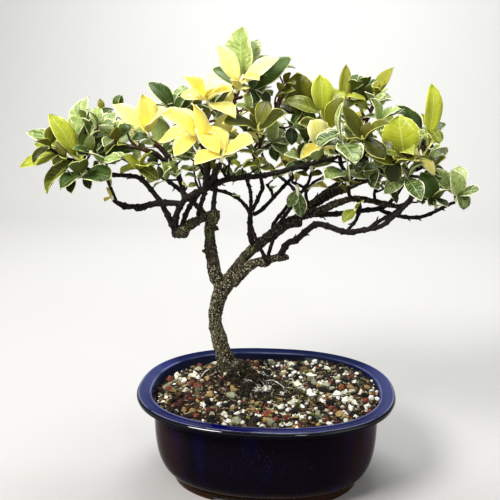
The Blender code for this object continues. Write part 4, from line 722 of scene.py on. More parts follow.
# Each is a name, a colour, the foot and the head of its shoot as (across, down, mm behind the target),
# how many leaves it has on its far side, and its leaves as (tip across, tip down, mm long, mm wide,
# lean), where lean 1 points away from the viewer and -1 towards.
SPRAYS = [
    ("far_left_lime", "lime", (84, 165, -22), (66, 150, -24), 1,
     [(44, 192, 32, 18, -1), (49, 113, 30, 16, -1), (19, 166, 32, 15, -1), (36, 150, 26, 12, 1)]),
    ("far_left_variegated", "variegated", (82, 160, -8), (70, 143, -8), 1,
     [(26, 123, 33, 14, -1), (95, 114, 25, 15, -1), (87, 96, 36, 16, 1), (25, 142, 32, 12, 1),
      (73, 106, 28, 12, -1)]),
    ("far_left_low", "green", (86, 172, -28), (81, 176, -34), 0,
     [(59, 188, 22, 15, -1), (111, 177, 24, 18, -1), (78, 160, 20, 13, -1)]),
    ("left_green", "green", (102, 165, 4), (96, 150, 2), 1,
     [(84, 127, 24, 15, -1), (116, 163, 22, 13, -1), (121, 108, 34, 15, 1), (134, 148, 30, 13, -1),
      (104, 128, 20, 12, -1)]),
    ("left_variegated", "variegated", (106, 160, 22), (101, 142, 22), 1,
     [(97, 113, 26, 13, -1), (123, 124, 24, 13, -1), (110, 98, 34, 13, 1)]),
    ("left_small", "lime", (143, 176, -12), (137, 165, -14), 0,
     [(122, 155, 20, 10, -1), (150, 150, 19, 9, -1), (124, 174, 15, 9, -1), (154, 168, 18, 10, -1)]),
    ("left_small_low", "variegated", (98, 168, -26), (103, 160, -30), 0,
     [(88, 156, 17, 10, -1), (121, 152, 19, 10, -1), (116, 172, 16, 9, -1)]),
    ("yellow_left", "yellow", (150, 139, 5), (146, 129, 4), 1,
     [(113, 104, 34, 17, -1), (142, 94, 29, 17, -1), (156, 100, 30, 12, 1), (108, 125, 32, 14, 1),
      (169, 106, 31, 15, -1)]),
    ("green_pair", "green", (176, 120, 30), (172, 104, 30), 2,
     [(148, 81, 28, 14, -1), (196, 88, 26, 13, 1)]),
    ("round_variegated", "variegated", (182, 118, 40), (176, 104, 40), 1,
     [(177, 72, 29, 20, -1), (163, 94, 24, 12, 1)]),
    ("yellow_front", "yellow", (200, 142, -55), (196, 130, -56), 1,
     [(162, 112, 32, 19, -1), (205, 93, 31, 18, -1), (157, 141, 33, 14, 1), (174, 155, 26, 12, -1),
      (214, 130, 22, 12, -1)]),
    ("yellow_middle", "yellow", (212, 110, -28), (205, 96, -28), 1,
     [(183, 77, 29, 14, -1), (236, 116, 28, 14, -1), (232, 88, 25, 13, -1), (181, 93, 25, 12, 1),
      (213, 74, 24, 13, 1), (231, 103, 24, 11, -1)]),
    ("pale_front", "yellow", (221, 161, -58), (224, 150, -60), 0,
     [(253, 141, 26, 22, -1), (203, 143, 23, 13, -1), (212, 124, 25, 13, 1), (226, 133, 22, 10, 1)]),
    ("top_variegated", "variegated", (240, 88, -6), (247, 70, -8), 1,
     [(241, 25, 33, 27, -1), (273, 56, 22, 13, -1), (258, 44, 26, 13, 1)]),
    ("top_yellow", "yellow", (236, 92, -14), (243, 76, -18), 0,
     [(218, 45, 29, 13, -1), (268, 43, 32, 15, -1), (264, 82, 19, 10, -1)]),
    ("top_green", "green", (243, 96, 4), (256, 88, 6), 1,
     [(291, 55, 36, 16, -1), (212, 66, 36, 12, 1), (272, 98, 18, 10, -1), (252, 103, 18, 11, -1)]),
    ("middle_olive", "olive", (260, 136, -27), (258, 127, -30), 1,
     [(224, 120, 31, 15, -1), (286, 112, 30, 14, -1), (268, 99, 28, 11, 1)]),
    ("round_olive", "olive", (304, 124, 16), (301, 106, 16), 1,
     [(297, 72, 29, 22, -1), (276, 98, 24, 12, 1)]),
    ("right_top_lime", "lime", (322, 120, 4), (322, 107, 4), 0,
     [(320, 74, 27, 16, -1), (283, 101, 31, 16, -1), (342, 96, 24, 14, 1)]),
    ("slim_lime", "lime", (343, 112, 20), (339, 97, 20), 1,
     [(349, 63, 28, 9, -1), (322, 88, 20, 11, 1), (365, 99, 24, 10, -1)]),
    ("right_back_green", "green", (362, 112, 30), (358, 98, 30), 1,
     [(341, 84, 20, 13, -1), (366, 78, 20, 12, -1), (336, 96, 24, 12, 1)]),
    ("right_tall", "lime", (371, 112, 24), (374, 94, 24), 1,
     [(394, 67, 28, 12, -1), (386, 90, 16, 11, -1)]),
    ("right_dark_variegated", "variegated", (377, 128, 4), (379, 116, 4), 0,
     [(371, 98, 20, 13, -1), (390, 98, 20, 11, -1), (360, 118, 18, 10, 1)]),
    ("inner_olive", "olive", (329, 138, -10), (327, 124, -12), 0,
     [(342, 96, 28, 15, -1), (299, 123, 24, 13, -1), (318, 108, 20, 12, 1)]),
    ("right_olive", "olive", (364, 148, -36), (362, 137, -38), 0,
     [(342, 106, 29, 16, -1), (390, 122, 25, 15, -1), (384, 159, 27, 14, -1)]),
    ("right_end_lime", "lime", (427, 148, 6), (429, 128, 6), 0,
     [(434, 83, 36, 14, -1), (417, 133, 16, 11, -1), (445, 141, 20, 11, -1)]),
    ("right_end_green", "green", (419, 148, 20), (424, 132, 20), 1,
     [(399, 104, 29, 17, -1), (446, 122, 24, 12, 1)]),
    ("right_round", "lime", (406, 166, -28), (403, 150, -30), 0,
     [(399, 115, 28, 25, -1), (384, 141, 20, 10, -1), (424, 145, 20, 10, -1)]),
    ("right_low_olive", "olive", (398, 170, -34), (395, 158, -38), 0,
     [(412, 153, 20, 12, -1), (370, 150, 23, 12, -1), (404, 180, 18, 12, -1)]),
    ("middle_variegated", "variegated", (343, 150, -38), (340, 132, -40), 0,
     [(356, 163, 31, 17, -1), (341, 103, 28, 15, -1), (324, 144, 18, 12, -1), (322, 126, 18, 12, 1)]),
    ("yellow_fold", "yellow", (323, 150, -20), (323, 140, -26), 0,
     [(311, 120, 20, 17, -1), (303, 142, 19, 10, -1), (332, 157, 15, 8, -1)]),
    ("inner_dark", "variegated", (312, 170, -18), (309, 160, -22), 0,
     [(290, 150, 22, 12, -1), (318, 148, 18, 11, -1), (287, 170, 22, 10, -1)]),
    ("inner_yellow", "yellow", (290, 176, 6), (288, 164, 4), 0,
     [(280, 146, 20, 9, -1), (296, 150, 18, 7, -1), (274, 168, 14, 8, 1)]),
    ("inner_pale", "variegated", (284, 150, 22), (284, 138, 22), 0,
     [(265, 148, 22, 12, -1), (300, 124, 22, 11, -1), (270, 122, 22, 11, 1)]),
    ("right_low_variegated", "variegated", (348, 184, -26), (344, 172, -30), 0,
     [(330, 157, 24, 17, -1), (361, 160, 20, 12, -1), (330, 180, 20, 14, -1), (362, 178, 18, 10, -1)]),
    ("knot_variegated", "variegated", (380, 178, -16), (380, 168, -20), 0,
     [(368, 148, 22, 15, -1), (394, 152, 22, 12, -1), (398, 176, 20, 11, 1)]),
    ("right_end_yellow", "yellow", (424, 166, -20), (419, 156, -22), 0,
     [(404, 145, 19, 10, -1), (431, 143, 18, 9, -1), (398, 163, 20, 10, -1), (440, 166, 20, 8, -1)]),
    ("right_end_olive", "olive", (434, 176, 10), (431, 162, 12), 1,
     [(446, 157, 20, 9, -1), (415, 150, 22, 10, 1), (448, 171, 20, 10, -1)]),
    ("right_hanging", "variegated", (409, 184, -32), (403, 169, -34), 0,
     [(422, 199, 28, 12, -1), (390, 179, 19, 10, -1)]),
    ("far_right_low", "green", (436, 207, -18), (434, 198, -20), 0,
     [(421, 172, 24, 14, -1), (446, 184, 20, 11, -1), (450, 206, 16, 8, -1)]),
    ("far_right_leaves", "variegated", (455, 201, -10), (460, 192, -9), 1,
     [(430, 168, 30, 14, -1), (468, 168, 23, 13, -1), (474, 183, 18, 12, -1), (449, 168, 22, 10, 1),
      (469, 202, 16, 11, -1)]),
    ("hanging_small", "variegated", (297, 186, -17), (298, 195, -21), 0,
     [(301, 217, 18, 10, -1), (289, 207, 14, 8, -1)]),
    ("low_yellow_green", "lime", (356, 208, -22), (355, 210, -30), 0,
     [(343, 222, 15, 8, -1), (363, 200, 14, 7, -1)]),
    ("left_buds", "yellow", (112.5, 199.5, -5), (111, 197, -5), 0,
     [(109, 187, 9, 5, -1), (118, 190, 9, 4.5, -1), (104, 197, 8, 4.5, -1)]),
]

# Shoots on the plant's far side, given only by foot, head and leaf count.
HIDDEN_SPRAYS = [
    ("rear_one", "green", (122, 156, 63), (112, 142, 72), 6),
    ("rear_two", "lime", (140, 160, 62), (138, 138, 74), 6),
    ("rear_three", "variegated", (166, 160, 58), (160, 136, 70), 6),
    ("rear_four", "olive", (205, 146, 67), (198, 124, 76), 6),
    ("rear_five", "yellow", (222, 150, 56), (227, 126, 62), 5),
    ("rear_six", "variegated", (262, 153, 61), (258, 131, 72), 6),
    ("rear_seven", "green", (304, 158, 46), (306, 136, 54), 6),
    ("rear_eight", "lime", (350, 158, 64), (350, 136, 76), 6),
    ("rear_nine", "variegated", (386, 158, 69), (390, 136, 78), 6),
    ("rear_ten", "green", (404, 164, 49), (416, 146, 56), 5),
    ("rear_eleven", "green", (216, 120, 34), (212, 100, 40), 5),
]
# The first seeds of the shown sprays, of the hidden ones, and of the finished leaves of both.
SHOWN_SEED, HIDDEN_SEED, FINISH_SEED = 100, 500, 900
# How leaves lie: the depth of their fold, the height of their arch, their waves, droop and skew, as
# shares of their own length or width.
FOLDS = (0.12, 0.4)
ARCHES = (0.02, 0.09)
WAVES = (0.02, 0.07)
MOST_DROOP = 0.08
MOST_SKEW = 0.05
# The leaves that don't show: on the far side of a shown spray, and on the hidden sprays.
REAR_LENGTHS = (23, 30)
REAR_WIDTHS = (11, 15)
HIDDEN_LENGTHS = (23, 31)
HIDDEN_WIDTH_SHARES = (0.44, 0.58)
HIDDEN_PITCHES = (48, 72)
HIDDEN_STRAY = 18
GAP = 0.3 * MM
SHOOT_THICK = 2.2 * MM
SHOOT_TAPER = 0.75
SHOOT_SLIDES = 30
BLADE_THICK = 0.7 * MM
LEAF_THICK = 0.38 * MM
LEAF_STEM = (1.2 * MM, 0.7 * MM)
CLEAR_OF_OTHERS = 0.8 * MM
THICK_OF_CLEARANCE = 2.2 * MM
# A leaf may touch its own shoot's other leaves over this first share of its length.
OWN_FROM = 0.18
# A leaf at least this wide, in mm, is tried for room with its fold.
FOLDED_FROM = 14
# The rows of the plain blade, as shares of its length, and how much wider it is drawn to make up for them.
OUTLINE_ROWS = (0.0, 0.38, 0.77, 1.0)
OUTLINE_WIDER = 1.12


def half_width(u):
    """Half the leaf's width as a share of its widest, u of the way from base to tip."""
    return max(math.sin(math.pi * u ** 1.15), 0.0) ** 0.7


def blade(base, tip, facing, width, fold, arch, thick, columns, start=0.0):
    """The plain blade with which room for a leaf is tried."""
    along = tip - base
    length = along.length
    along = along / length
    face = (facing - along * facing.dot(along)).normalized()
    across = along.cross(face)
    shape = bmesh.new()
    last = len(OUTLINE_ROWS) - 1
    bmesh.ops.create_grid(shape, x_segments=columns, y_segments=last, size=1)
    for corner in shape.verts:
        v = corner.co.x
        u = start + (1 - start) * OUTLINE_ROWS[round((corner.co.y + 1) / 2 * last)]
        half = width / 2 * OUTLINE_WIDER * half_width(u)
        rise = arch * length * 4 * u * (1 - u) + abs(v) * half * fold
        corner.co = base + along * length * u + across * v * half + face * rise
    bmesh.ops.remove_doubles(shape, verts=shape.verts, dist=0.02 * MM)
    bmesh.ops.triangulate(shape, faces=shape.faces)
    bmesh.ops.recalc_face_normals(shape, faces=shape.faces)
    bmesh.ops.solidify(shape, geom=shape.faces, thickness=thick)
    bmesh.ops.recalc_face_normals(shape, faces=shape.faces)
    return shape


def leaf_tip(base, across, down, behind, length, lean):
    """Where a leaf of this length ends, if its tip shows at this pixel."""
    flat = from_picture(across, down, behind)
    shown = (flat - base).length
    hidden = math.sqrt(max(length * length - shown * shown, 0.0))
    return from_picture(across, down, behind + lean * hidden / MM)


def turned(vector, axis, degrees):
    """A direction turned about an axis."""
    return Matrix.Rotation(math.radians(degrees), 3, axis) @ vector


# How far a leaf that would cross something is swung aside and lifted, in degrees, tried in turn.
SWINGS = [(0, 0)] + [
    (swing, lift)
    for reach in (12, 24, 36, 50)
    for swing, lift in (
        (0, reach), (reach, 0), (-reach, 0), (0, -reach), (reach, reach), (-reach, reach),
        (reach, -reach), (-reach, -reach),
    )
]


def bounds_of(shape):
    """The lowest and the highest corner of the box round a shape."""
    corners = [v.co for v in shape.verts]
    low = [min(c[axis] for c in corners) for axis in range(3)]
    high = [max(c[axis] for c in corners) for axis in range(3)]
    return low, high


def boxes_meet(one, other):
    return all(one[0][axis] <= other[1][axis] and other[0][axis] <= one[1][axis] for axis in range(3))


def obstacle(shape):
    """What is kept of a shape to try others against: its box and its faces."""
    return bounds_of(shape), BVHTree.FromBMesh(shape)


def is_clear(shape, obstacles):
    """Whether a shape crosses none of the obstacles."""
    box = bounds_of(shape)
    tree = None
    for other_box, other_tree in obstacles:
        if boxes_meet(box, other_box):
            tree = tree or BVHTree.FromBMesh(shape)
            if tree.overlap(other_tree):
                return False
    return True


def fitted_leaf(leaf, draw, others, own, columns):
    """The leaf as it lies at the first swing at which it crosses nothing, or None."""
    base, tip, facing, width = leaf
    fold = draw.uniform(*FOLDS)
    arch = draw.uniform(*ARCHES)
    side = (tip - base).cross(facing).normalized()
    for swing, lift in SWINGS:
        end = base + turned(turned(tip - base, facing, swing), side, lift)
        wide = blade(base, end, facing, width + CLEAR_OF_OTHERS, fold, arch, THICK_OF_CLEARANCE, columns)
        outer = blade(base, end, facing, width, fold, arch, BLADE_THICK, columns, OWN_FROM)
        fits = is_clear(wide, others) and is_clear(outer, own)
        if fits:
            own.append(obstacle(outer))
        wide.free()
        outer.free()
        if fits:
            return base, end, facing, width, fold, arch
    return None


def automatic_leaves(foot, head, count, draw, first_turn, spread):
    """Leaves in crossed pairs up a shoot, as (base, tip, facing, width)."""
    way = (head - foot).normalized()
    level = way.cross(Vector((0, 0, 1))).normalized()
    found = []
    for number in range(count):
        pair = number // 2
        share = 0.4 + 0.55 * pair / max((count - 1) // 2, 1)
        around = first_turn + 90 * pair + 180 * (number % 2) + draw.uniform(-spread, spread)
        out = turned(level, way, around)
        pitch = math.radians(draw.uniform(*HIDDEN_PITCHES) - 12 * pair)
        along = out * math.sin(pitch) + way * math.cos(pitch)
        length = draw.uniform(*HIDDEN_LENGTHS) * MM
        width = length * draw.uniform(*HIDDEN_WIDTH_SHARES)
        base = foot.lerp(head, share)
        facing = (Vector((0, 0, 1)) + way * 0.6 + out * 0.2).normalized()
        found.append((base, base + along * length, facing, width))
    return found


def spray_leaves(foot_at, head_at, rear, shown, draw):
    """The leaves of one spray: those that show, then those on its far side."""
    foot, head = from_picture(*foot_at), from_picture(*head_at)
    found = []
    for number, (across, down, length, width, lean) in enumerate(shown):
        share = 0.45 + 0.5 * (number // 2) / max((len(shown) - 1) // 2, 1)
        base = foot.lerp(head, min(share, 0.95))
        behind = foot_at[2] + (head_at[2] - foot_at[2]) * share
        tip = leaf_tip(base, across, down, behind, length * MM, lean)
        facing = Vector((draw.uniform(-0.35, 0.35), draw.uniform(-0.9, -0.3), 0.9))
        found.append((base, tip, facing.normalized(), width * MM))
    way = (head - foot).normalized()
    for number in range(rear):
        out = Vector((draw.uniform(-0.8, 0.8), 1, draw.uniform(-0.1, 0.7))).normalized()
        along = (out + way * 0.3).normalized() * draw.uniform(*REAR_LENGTHS) * MM
        base = foot.lerp(head, 0.6)
        found.append((base, base + along, Vector((0, 0, 1)), draw.uniform(*REAR_WIDTHS) * MM))
    return foot, head, found


def stalk(shape, foot, head, foot_thick, head_thick, sides):
    """A straight round stalk."""
    along = head - foot
    corners = bmesh.ops.create_cone(
        shape, cap_ends=True, segments=sides, radius1=foot_thick / 2, radius2=head_thick / 2,
        depth=along.length,
    )["verts"]
    bmesh.ops.rotate(shape, verts=corners, matrix=along.to_track_quat("Z", "Y").to_matrix())
    bmesh.ops.translate(shape, verts=corners, vec=(foot + head) / 2)
    return corners


sprays = []
for number, (name, leaf_colour, foot_at, head_at, rear, shown) in enumerate(SPRAYS):
    draw = random.Random(SHOWN_SEED + number)
    foot, head, leaves = spray_leaves(foot_at, head_at, rear, shown, draw)
    folded = [width >= FOLDED_FROM for across, down, length, width, lean in shown] + [False] * rear
    sprays.append((name, leaf_colour, foot, head, list(zip(leaves, folded)), draw))
for number, (name, leaf_colour, foot_at, head_at, count) in enumerate(HIDDEN_SPRAYS):
    draw = random.Random(HIDDEN_SEED + number)
    foot, head = from_picture(*foot_at), from_picture(*head_at)
    leaves = automatic_leaves(foot, head, count, draw, 30 * number, HIDDEN_STRAY)
    sprays.append((name, leaf_colour, foot, head, [(leaf, False) for leaf in leaves], draw))

wood_shape = bmesh.new()
wood_shape.from_mesh(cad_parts["trunk_and_branches"].data)
wood = [obstacle(wood_shape)]
wood_shape.free()

shoot_tests = []
for name, leaf_colour, foot, head, leaves, draw in sprays:
    step = (head - foot).normalized() * GAP
    start = foot + step
    for slide in range(SHOOT_SLIDES):
        shape = bmesh.new()
        stalk(shape, start, head, SHOOT_THICK + GAP, (SHOOT_THICK + GAP) * SHOOT_TAPER, 4)
        clear = is_clear(shape, wood)
        shape.free()
        if clear:
            break
        start += step
    shape = bmesh.new()
    stalk(shape, start, head, SHOOT_THICK, SHOOT_THICK * SHOOT_TAPER, 4)
    shoot_tests.append(obstacle(shape))
    shape.free()

grown_sprays = []
others = list(wood)
for number, (name, leaf_colour, foot, head, leaves, draw) in enumerate(sprays):
    others_now = others + [test for order, test in enumerate(shoot_tests) if order != number]
    own, kept = [], []
    for leaf, is_folded in leaves:
        lies = fitted_leaf(leaf, draw, others_now, own, 2 if is_folded else 1)
        if lies:
            kept.append(lies)
            shape = blade(*lies, BLADE_THICK, 2 if is_folded else 1)
            others.append(obstacle(shape))
            shape.free()
    grown_sprays.append((name, leaf_colour, foot, head, kept))


def leaf_outline(u, slim):
    """Half the width of a grown leaf as a share of its widest: blunter the rounder the leaf is."""
    stem = min(u / 0.16, 1.0)
    full = max(math.sin(math.pi * u ** (1.12 + 0.06 * slim)), 0.0) ** (0.55 + 0.2 * slim)
    return full * (0.42 + 0.58 * stem) * 1.06


LEAF_COLUMNS = 4
LEAF_ROWS = 9
SMALL_COLUMNS = 2
SMALL_ROWS = 6


def grown_leaf(base, end, facing, width, fold, arch, draw, columns=LEAF_COLUMNS, rows=LEAF_ROWS):
    """One finished leaf: cupped about its midrib, wavy at its edges and with a drooping tip.

    Its luck, by which its colour is picked, is highest in the leaves that stand up: partly as these are young
    and brighter, partly as painted light, the lit tints going to leaves that face up and the shaded ones to
    those that hang.
    """
    along = end - base
    length = along.length
    along = along / length
    face = (facing - along * facing.dot(along)).normalized()
    across = along.cross(face)
    slim = min(max((0.8 - width / length) / 0.35, 0.0), 1.0)
    # Partly painted light: leaves that stand up get a higher luck and so lighter tints, hanging ones darker.
    luck = min(max(0.42 + 0.42 * along.z + draw.gauss(0, 0.2), 0), 1)
    wave, phase = draw.uniform(*WAVES), draw.uniform(0, 6)
    droop = draw.uniform(0.0, MOST_DROOP)
    skew = draw.uniform(-MOST_SKEW, MOST_SKEW)
    shape = bmesh.new()
    shape.loops.layers.uv.new("leaf")
    luck_of = shape.faces.layers.float.new("luck")
    under_of = shape.faces.layers.float.new("under")
    bmesh.ops.create_grid(shape, x_segments=columns, y_segments=rows, size=1, calc_uvs=True)
    for corner in shape.verts:
        v = corner.co.x
        t = (corner.co.y + 1) / 2
        u = 0.05 + 0.95 * (t + 0.05 * math.sin(2 * math.pi * t))
        half = width / 2 * leaf_outline(u, slim)
        cup = math.sqrt(v * v + 0.02) - 0.14
        rise = arch * length * 4 * u * (1 - u) + cup * half * fold * 1.2
        rise += wave * width * v * v * math.sin(9 * u + phase + 2 * v) - droop * length * u ** 4
        corner.co = base + along * length * u + across * (v * half + skew * width * u * u) + face * rise
    bmesh.ops.remove_doubles(shape, verts=shape.verts, dist=0.01 * MM)
    bmesh.ops.recalc_face_normals(shape, faces=shape.faces)
    bmesh.ops.solidify(shape, geom=shape.faces, thickness=LEAF_THICK)
    bmesh.ops.recalc_face_normals(shape, faces=shape.faces)
    shape.normal_update()
    for patch in shape.faces:
        patch.smooth = True
        patch[luck_of] = luck
        patch[under_of] = 1.0 if patch.normal.dot(face) < -0.05 else 0.0
    mesh = bpy.data.meshes.new("leaf")
    shape.to_mesh(mesh)
    shape.free()
    stem = base + along * length * 0.16 + face * (arch * length * 0.5 - 0.25 * MM)
    return mesh, base, stem


def leaf_paint(name, dark, light, patch, vein, edge, edge_from, patchy, underside, feathered):
    """A leaf finish: two body tints, paler patches and feathering along the veins, and a pale edge."""
    paint = Paint(
        name, subsurface_weight=0.18, subsurface_radius=(1.0, 1.0, 0.35), subsurface_scale=0.0012,
        specular_ior_level=0.26,
    )
    uv = paint.node("ShaderNodeUVMap", {"uv_map": "leaf"})
    luck, under = paint.attribute("luck"), paint.attribute("under")
    sideways, along = paint.parts(uv)[:2]
    side = abs(sideways * 2 - 1)
    spot = paint.vector(sideways * 1.1, along * 2, luck * 23)
    cloud = paint.noise(spot, 3.2, 4, 0.6)
    wobble = paint.noise(spot, 9, 3)
    sweep = along * 8 - side * 1.9 + wobble * 0.5
    ridge = abs((sweep % 1.0) * 2 - 1)
    side_vein = paint.smooth(ridge, 0.82, 1.0) * paint.smooth(side, 0.97, 0.6)
    midrib = paint.smooth(side, 0.075, 0.03)
    # Painted light in part: the leaf's luck, high in leaves that stand up, moves its body to the lighter
    # tint.
    body = paint.blend(paint.smooth(cloud * 0.5 + luck * 0.75, 0.3, 0.95), dark, light)
    splash = (cloud - 0.5) * 2.2 + (wobble - 0.5) * 1.5
    broken = paint.smooth(splash + side * 0.75 - ridge * 0.3 + luck * 0.4, *patchy)
    body = paint.blend(broken, body, patch)
    feather = paint.noise(paint.vector(sweep, side * 0.5, luck * 31), 2.6, 3, 0.6)
    body = paint.blend(paint.smooth(feather + luck * 0.12, 0.48, 0.68) * feathered, body, vein)
    body = paint.blend((side_vein * 0.45).top(midrib * 0.6), body, vein)
    rim = paint.smooth(side + (wobble - 0.5) * 0.22, edge_from, edge_from + 0.06)
    rim = rim.top(paint.smooth(along, 0.955, 0.985))
    body = paint.blend(rim, body, edge)
    paint.set("Base Color", paint.blend(under * 0.75, body, underside))
    paint.set("Roughness", under * 0.25 + cloud * 0.15 + 0.28)
    paint.bump(ridge * 0.35 + cloud * 0.5 - midrib * 0.9 - side_vein * 0.5, 0.35, 0.0007)
    return paint.material


LEAF_FINISH = {
    "yellow": leaf_paint(
        "yellow leaf", colour(244, 226, 94), colour(252, 246, 156), colour(254, 251, 204),
        colour(240, 214, 102), colour(254, 251, 202), 0.93, (0.6, 1.3), colour(238, 222, 114), 0.25,
    ),
    "lime": leaf_paint(
        "lime leaf", colour(74, 86, 12), colour(168, 176, 30), colour(194, 202, 76),
        colour(204, 210, 112), colour(228, 230, 140), 0.94, (0.9, 1.6), colour(126, 124, 28), 0.15,
    ),
    "olive": leaf_paint(
        "olive leaf", colour(42, 48, 8), colour(104, 106, 16), colour(130, 134, 40),
        colour(64, 70, 20), colour(214, 214, 110), 0.93, (1.0, 1.8), colour(100, 94, 24), 0.3,
    ),
    "green": leaf_paint(
        "dark green leaf", colour(16, 30, 7), colour(60, 84, 24), colour(100, 122, 46),
        colour(92, 116, 52), colour(222, 228, 158), 0.925, (0.95, 1.7), colour(84, 94, 28), 0.25,
    ),
    "variegated": leaf_paint(
        "variegated leaf", colour(40, 66, 20), colour(122, 148, 70), colour(214, 222, 164),
        colour(178, 192, 118), colour(248, 247, 204), 0.89, (0.62, 1.1), colour(136, 150, 80), 0.65,
    ),
}

SHOOT = Paint("new shoot", subsurface_weight=0.08, subsurface_scale=0.001, specular_ior_level=0.4)
place = SHOOT.place()
reddish = SHOOT.smooth(SHOOT.noise(place, 130, 3), 0.38, 0.62)
SHOOT.set("Base Color", SHOOT.blend(reddish, colour(146, 84, 40), colour(84, 40, 26)))
SHOOT.set("Roughness", reddish * 0.15 + 0.45)
SHOOT.bump(SHOOT.noise(place, 1500, 3), 0.3, 0.0004)

for number, (name, leaf_colour, foot, head, leaves) in enumerate(grown_sprays):
    draw = random.Random(FINISH_SEED + number)
    grown = bmesh.new()
    stems = []
    for leaf in leaves:
        mesh, base, stem = grown_leaf(*leaf, draw)
        grown.from_mesh(mesh)
        bpy.data.meshes.remove(mesh)
        stems.append((base, stem))
    leafy_faces = len(grown.faces)
    way = (head - foot).normalized()
    stalk(grown, foot - way * 0.6 * MM, head, SHOOT_THICK * 1.2, SHOOT_THICK * 0.8, 8)
    bmesh.ops.create_icosphere(
        grown, subdivisions=2, radius=SHOOT_THICK * 0.5,
        matrix=Matrix.Translation(head) @ Matrix.Diagonal((0.75, 0.75, 1.2, 1)),
    )
    for base, stem in stems:
        stalk(grown, base, stem, *LEAF_STEM, 6)
    grown.faces.ensure_lookup_table()
    for patch in grown.faces[leafy_faces:]:
        patch.material_index = 1
        patch.smooth = True
    piece = object_of(
        grown, "spray_" + name, [LEAF_FINISH[leaf_colour], SHOOT.material], leaf_colour + "_leaf"
    )
    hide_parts(name)


# Side branches and twigs
# Everything thinner than a finger grows out of the limbs: dark and knobbly wood, with a swollen ring
# wherever a pair of leaves once stood and a few dead stubs. The youngest ends, up under the leaves,
# are still red-brown.

TWIG_STEPS = 2
TWIG_THICK = 2.8
TWIG_TAPER = 0.8
TWIG_STRAY = 0.09
SHORT_TWIG = 14 * MM
TWIG_END = 1.5 * MM
SPUR_SHARE = 0.42
SPUR_LENGTHS = (1.2, 3.4)
SPUR_THICK = [1.5, 1.05, 0.6]
SIDE_SHOOT_THICK = (1.9, 1.5, 1.2)
# The small side shoots between the clusters. Each is where its head shows (across, down, mm behind the
# target), its leaves' colour, how many they are, and how long the longest is in mm.
SIDE_SHOOTS = [
    (115, 109, 12, "green", 3, 13), (100, 114, 10, "lime", 2, 13), (98, 126, -14, "variegated", 4, 17),
    (112, 138, -12, "variegated", 4, 16), (128, 133, -6, "green", 3, 17), (139, 143, -4, "variegated", 3, 13),
    (118, 145, -14, "olive", 3, 19), (90, 137, -16, "green", 3, 16), (85, 122, -14, "variegated", 3, 15),
    (50, 146, -26, "olive", 3, 18), (66, 158, -28, "olive", 3, 15),
    (91, 153, -24, "green", 4, 15), (72, 178, -30, "green", 3, 14),
    (136, 162, -10, "variegated", 4, 13), (158, 165, -8, "green", 3, 13),
    (167, 180, -16, "variegated", 3, 15),
    (176, 173, -10, "variegated", 3, 13), (176, 143, 12, "lime", 2, 13), (191, 159, -30, "variegated", 4, 15),
    (197, 152, -34, "variegated", 3, 15), (187, 187, -20, "lime", 2, 9), (213, 170, -34, "olive", 2, 10),
    (222, 146, -20, "green", 3, 14), (242, 168, -26, "lime", 3, 12), (258, 168, -20, "olive", 3, 13),
    (256, 158, -8, "variegated", 3, 13), (271, 145, 6, "variegated", 4, 17),
    (240, 197, -16, "variegated", 1, 11), (273, 180, -10, "variegated", 2, 12),
    (251, 110, -12, "variegated", 3, 15), (261, 92, 4, "variegated", 3, 15),
    (281, 94, 8, "lime", 2, 12), (256, 122, -20, "olive", 2, 15),
    (291, 126, -4, "green", 3, 15), (272, 143, 0, "variegated", 3, 17),
    (254, 154, -10, "yellow", 2, 10), (302, 157, -16, "green", 3, 17), (291, 170, -10, "olive", 2, 11),
    (331, 154, -24, "yellow", 2, 11), (336, 141, -26, "variegated", 3, 12), (336, 114, -10, "green", 3, 15),
    (373, 147, -34, "olive", 3, 18), (383, 155, -36, "green", 4, 18), (341, 182, -24, "olive", 3, 15),
    (386, 186, -24, "green", 3, 16), (411, 160, -30, "olive", 3, 16), (416, 142, -20, "variegated", 3, 16),
    (431, 158, -16, "variegated", 2, 18),
    (432, 183, -12, "green", 3, 16), (418, 202, -18, "green", 2, 11),
    (352, 89, 16, "green", 3, 15), (365, 88, 20, "green", 2, 14), (354, 101, 10, "olive", 3, 17),
    (372, 106, 10, "variegated", 3, 17), (378, 95, 16, "lime", 2, 12), (395, 114, 12, "green", 2, 12),
    (419, 136, 0, "variegated", 3, 15), (350, 140, -36, "variegated", 3, 15), (310, 176, -20, "olive", 2, 10),
    (362, 168, -28, "green", 3, 13), (404, 178, -28, "green", 3, 13), (455, 190, -10, "variegated", 3, 14),
    (186, 149, -16, "variegated", 3, 15), (204, 155, -26, "yellow", 2, 13), (214, 150, -12, "olive", 2, 15),
    (229, 164, -22, "green", 3, 12), (237, 151, 2, "olive", 3, 16), (201, 167, -28, "variegated", 3, 13),
    (246, 146, -6, "green", 3, 15), (181, 160, -14, "variegated", 3, 14),
    (346, 161, -32, "variegated", 3, 14), (353, 177, -26, "green", 3, 13),
    (368, 180, -24, "variegated", 3, 13), (379, 168, -30, "variegated", 4, 15),
    (393, 168, -28, "olive", 3, 15), (341, 133, -20, "variegated", 3, 15), (326, 141, -10, "green", 3, 14),
    (364, 142, -10, "green", 4, 14), (386, 137, 0, "variegated", 3, 14), (320, 160, -18, "olive", 3, 13),
    (262, 77, 4, "green", 3, 16), (277, 71, 10, "variegated", 3, 14), (250, 91, 0, "green", 3, 14),
    (286, 85, 12, "olive", 3, 14), (244, 73, 6, "green", 3, 14), (220, 158, -24, "variegated", 3, 13),
    (194, 171, -20, "olive", 3, 12), (234, 174, -18, "variegated", 3, 12),
    (246, 134, -4, "green", 3, 14), (228, 172, -20, "olive", 3, 12), (198, 178, -22, "variegated", 3, 12),
    (374, 176, -26, "green", 4, 15), (357, 166, -30, "olive", 3, 15), (388, 180, -22, "variegated", 3, 14),
    (335, 172, -22, "variegated", 3, 13),
]


